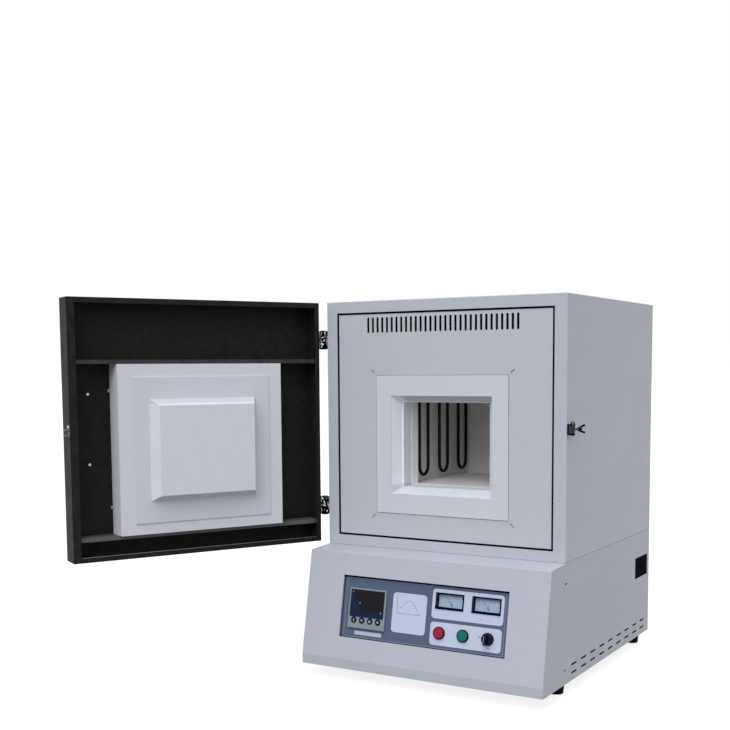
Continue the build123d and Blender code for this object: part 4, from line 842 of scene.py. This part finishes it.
def side_slot_shade():
    """Dark blocks in the slots along the base's sides, standing in for the shade behind them."""
    slot_shade = bmesh.new()
    for side in (-1, 1):
        near, far = sorted(side * (half_width - inset) for inset in slot_shade_insets)
        for i in range(slot_count):
            depth = slot_start + slot_pitch * i
            for height in slot_levels:
                block(slot_shade, (near, depth - slot_length / 2, height - slot_height / 2),
                      (far, depth + slot_length / 2, height + slot_height / 2))
    finish_piece("side_slot_shade", slot_shade, "painted_shade")


# A pale metal strip along the top of the door tray's lower flange, a painted highlight on its edge, placed
# with the door shut and then opened
flange_ends = (-286.0, 281.0)
edge_depth = 1.8
edge_height = 1.2
edge_proud = 0.06


def tray_edge_highlight():
    """A pale metal strip along the top of the tray's lower flange: a painted highlight."""
    flange_top = door_bottom + door_rim
    edge = bmesh.new()
    block(edge, (flange_ends[0], -door_gap - edge_depth, flange_top - edge_height),
          (flange_ends[1], -door_gap + edge_proud, flange_top + edge_proud))
    pivot = Matrix.Translation(door_hinge["pos_m"])
    shut_to_open = math.radians(door_hinge["range_deg"][0])
    opened = pivot @ Matrix.Rotation(shut_to_open, 4, "Z") @ pivot.inverted()
    bmesh.ops.transform(edge, matrix=opened, verts=edge.verts)
    finish_piece("tray_edge_highlight", edge, "bare", "door")


for build in (panel_cards, panel_strip, panel_border, panel_curve, selector_marks, panel_captions,
              selector_pale_line, panel_gap_shadow, screen_reflection, display_lamps, symbols_on_keys, meter_scales,
              meter_letters, front_panel_gap_shade, vent_shade, side_slot_shade, tray_edge_highlight):
    build()

# Camera, fitted to the photograph's 730 by 730 pixels. Its place and far clip are in metres.
image = 730.0
focal_pixels = 1116.3
principal = (371.0, 471.6)
camera_place = Vector((1.1547, -2.5201, 0.7109))
azimuth = math.radians(30.94)
elevation = math.radians(5.289)
roll = math.radians(-0.396)
sensor_width = 36.0
far_clip = 200.0

forward = Vector((-math.sin(azimuth) * math.cos(elevation), math.cos(azimuth) * math.cos(elevation),
                  -math.sin(elevation)))
right = Vector((math.cos(azimuth), math.sin(azimuth), 0))
upward = right.cross(forward)
rolled_right = right * math.cos(roll) + upward * math.sin(roll)
rolled_up = upward * math.cos(roll) - right * math.sin(roll)

camera = bpy.data.objects.new("camera", bpy.data.cameras.new("camera"))
bpy.context.scene.collection.objects.link(camera)
camera.matrix_world = Matrix((
    (rolled_right.x, rolled_up.x, -forward.x, camera_place.x),
    (rolled_right.y, rolled_up.y, -forward.y, camera_place.y),
    (rolled_right.z, rolled_up.z, -forward.z, camera_place.z),
    (0, 0, 0, 1)))
camera.data.sensor_width = sensor_width
camera.data.lens = focal_pixels / image * sensor_width
camera.data.shift_x = (image / 2 - principal[0]) / image
camera.data.shift_y = (principal[1] - image / 2) / image
camera.data.clip_end = far_clip
bpy.context.scene.camera = camera

# Studio. The floor's reach is in metres.
sky_level = 0.8
floor_reach = 60.0
floor_bounce = 0.2
floor_tone = 0.24
floor_glow = 0.84


def add_sun(name, toward, strength, softness):
    """A broad, soft lamp that shines from a direction."""
    lamp = bpy.data.lights.new(name, "SUN")
    lamp.energy = strength
    lamp.angle = math.radians(softness)
    holder = bpy.data.objects.new(name, lamp)
    bpy.context.scene.collection.objects.link(holder)
    holder.rotation_euler = Vector(toward).to_track_quat("Z", "Y").to_euler()


def seen_directly(tree):
    """1 for rays from the camera and in reflections and glass, and 0 for diffuse light."""
    rays = tree.nodes.new("ShaderNodeLightPath")
    total = rays.outputs["Is Camera Ray"]
    for kind in ("Is Glossy Ray", "Is Transmission Ray"):
        larger = tree.nodes.new("ShaderNodeMath")
        larger.operation = "MAXIMUM"
        tree.links.new(total, larger.inputs[0])
        tree.links.new(rays.outputs[kind], larger.inputs[1])
        total = larger.outputs["Value"]
    return total


def add_sky():
    """White where it is seen, and a plain level of light elsewhere."""
    world = bpy.data.worlds.new("studio")
    bpy.context.scene.world = world
    world.use_nodes = True
    sky = world.node_tree
    background = sky.nodes["Background"]
    background.inputs["Color"].default_value = grey(1)
    level = sky.nodes.new("ShaderNodeMapRange")
    level.inputs["To Min"].default_value = sky_level
    level.inputs["To Max"].default_value = 1.0
    sky.links.new(seen_directly(sky), level.inputs["Value"])
    sky.links.new(level.outputs["Result"], background.inputs["Strength"])


def add_floor():
    """A floor that looks nearly white and keeps the object's shadow."""
    mesh = bpy.data.meshes.new("floor")
    mesh.from_pydata([(x, y, 0) for x, y in ((-floor_reach, -floor_reach), (floor_reach, -floor_reach),
                                             (floor_reach, floor_reach), (-floor_reach, floor_reach))],
                     [], [(0, 1, 2, 3)])
    floor = bpy.data.objects.new("floor", mesh)
    bpy.context.scene.collection.objects.link(floor)
    s = Shader("studio floor")
    s.set(Base_Color=grey(floor_bounce), Roughness=1.0, Specular_IOR_Level=0.0)
    pale = s.add("ShaderNodeBsdfDiffuse")
    pale.inputs["Color"].default_value = grey(floor_tone)
    glow = s.add("ShaderNodeEmission")
    glow.inputs["Strength"].default_value = floor_glow
    shown = s.add("ShaderNodeAddShader")
    s.link(pale.outputs["BSDF"], shown.inputs[0])
    s.link(glow.outputs["Emission"], shown.inputs[1])
    s.surface(seen_directly(s.tree), s.principled.outputs["BSDF"], shown.outputs["Shader"])
    mesh.materials.append(s.material)


add_sun("overhead softbox", toward=(-0.05, -0.20, 0.97), strength=1.15, softness=40)
add_sun("front softbox", toward=(0.18, -0.79, 0.57), strength=1.15, softness=35)
add_sky()
add_floor()
bpy.context.scene.view_settings.view_transform = "Standard"
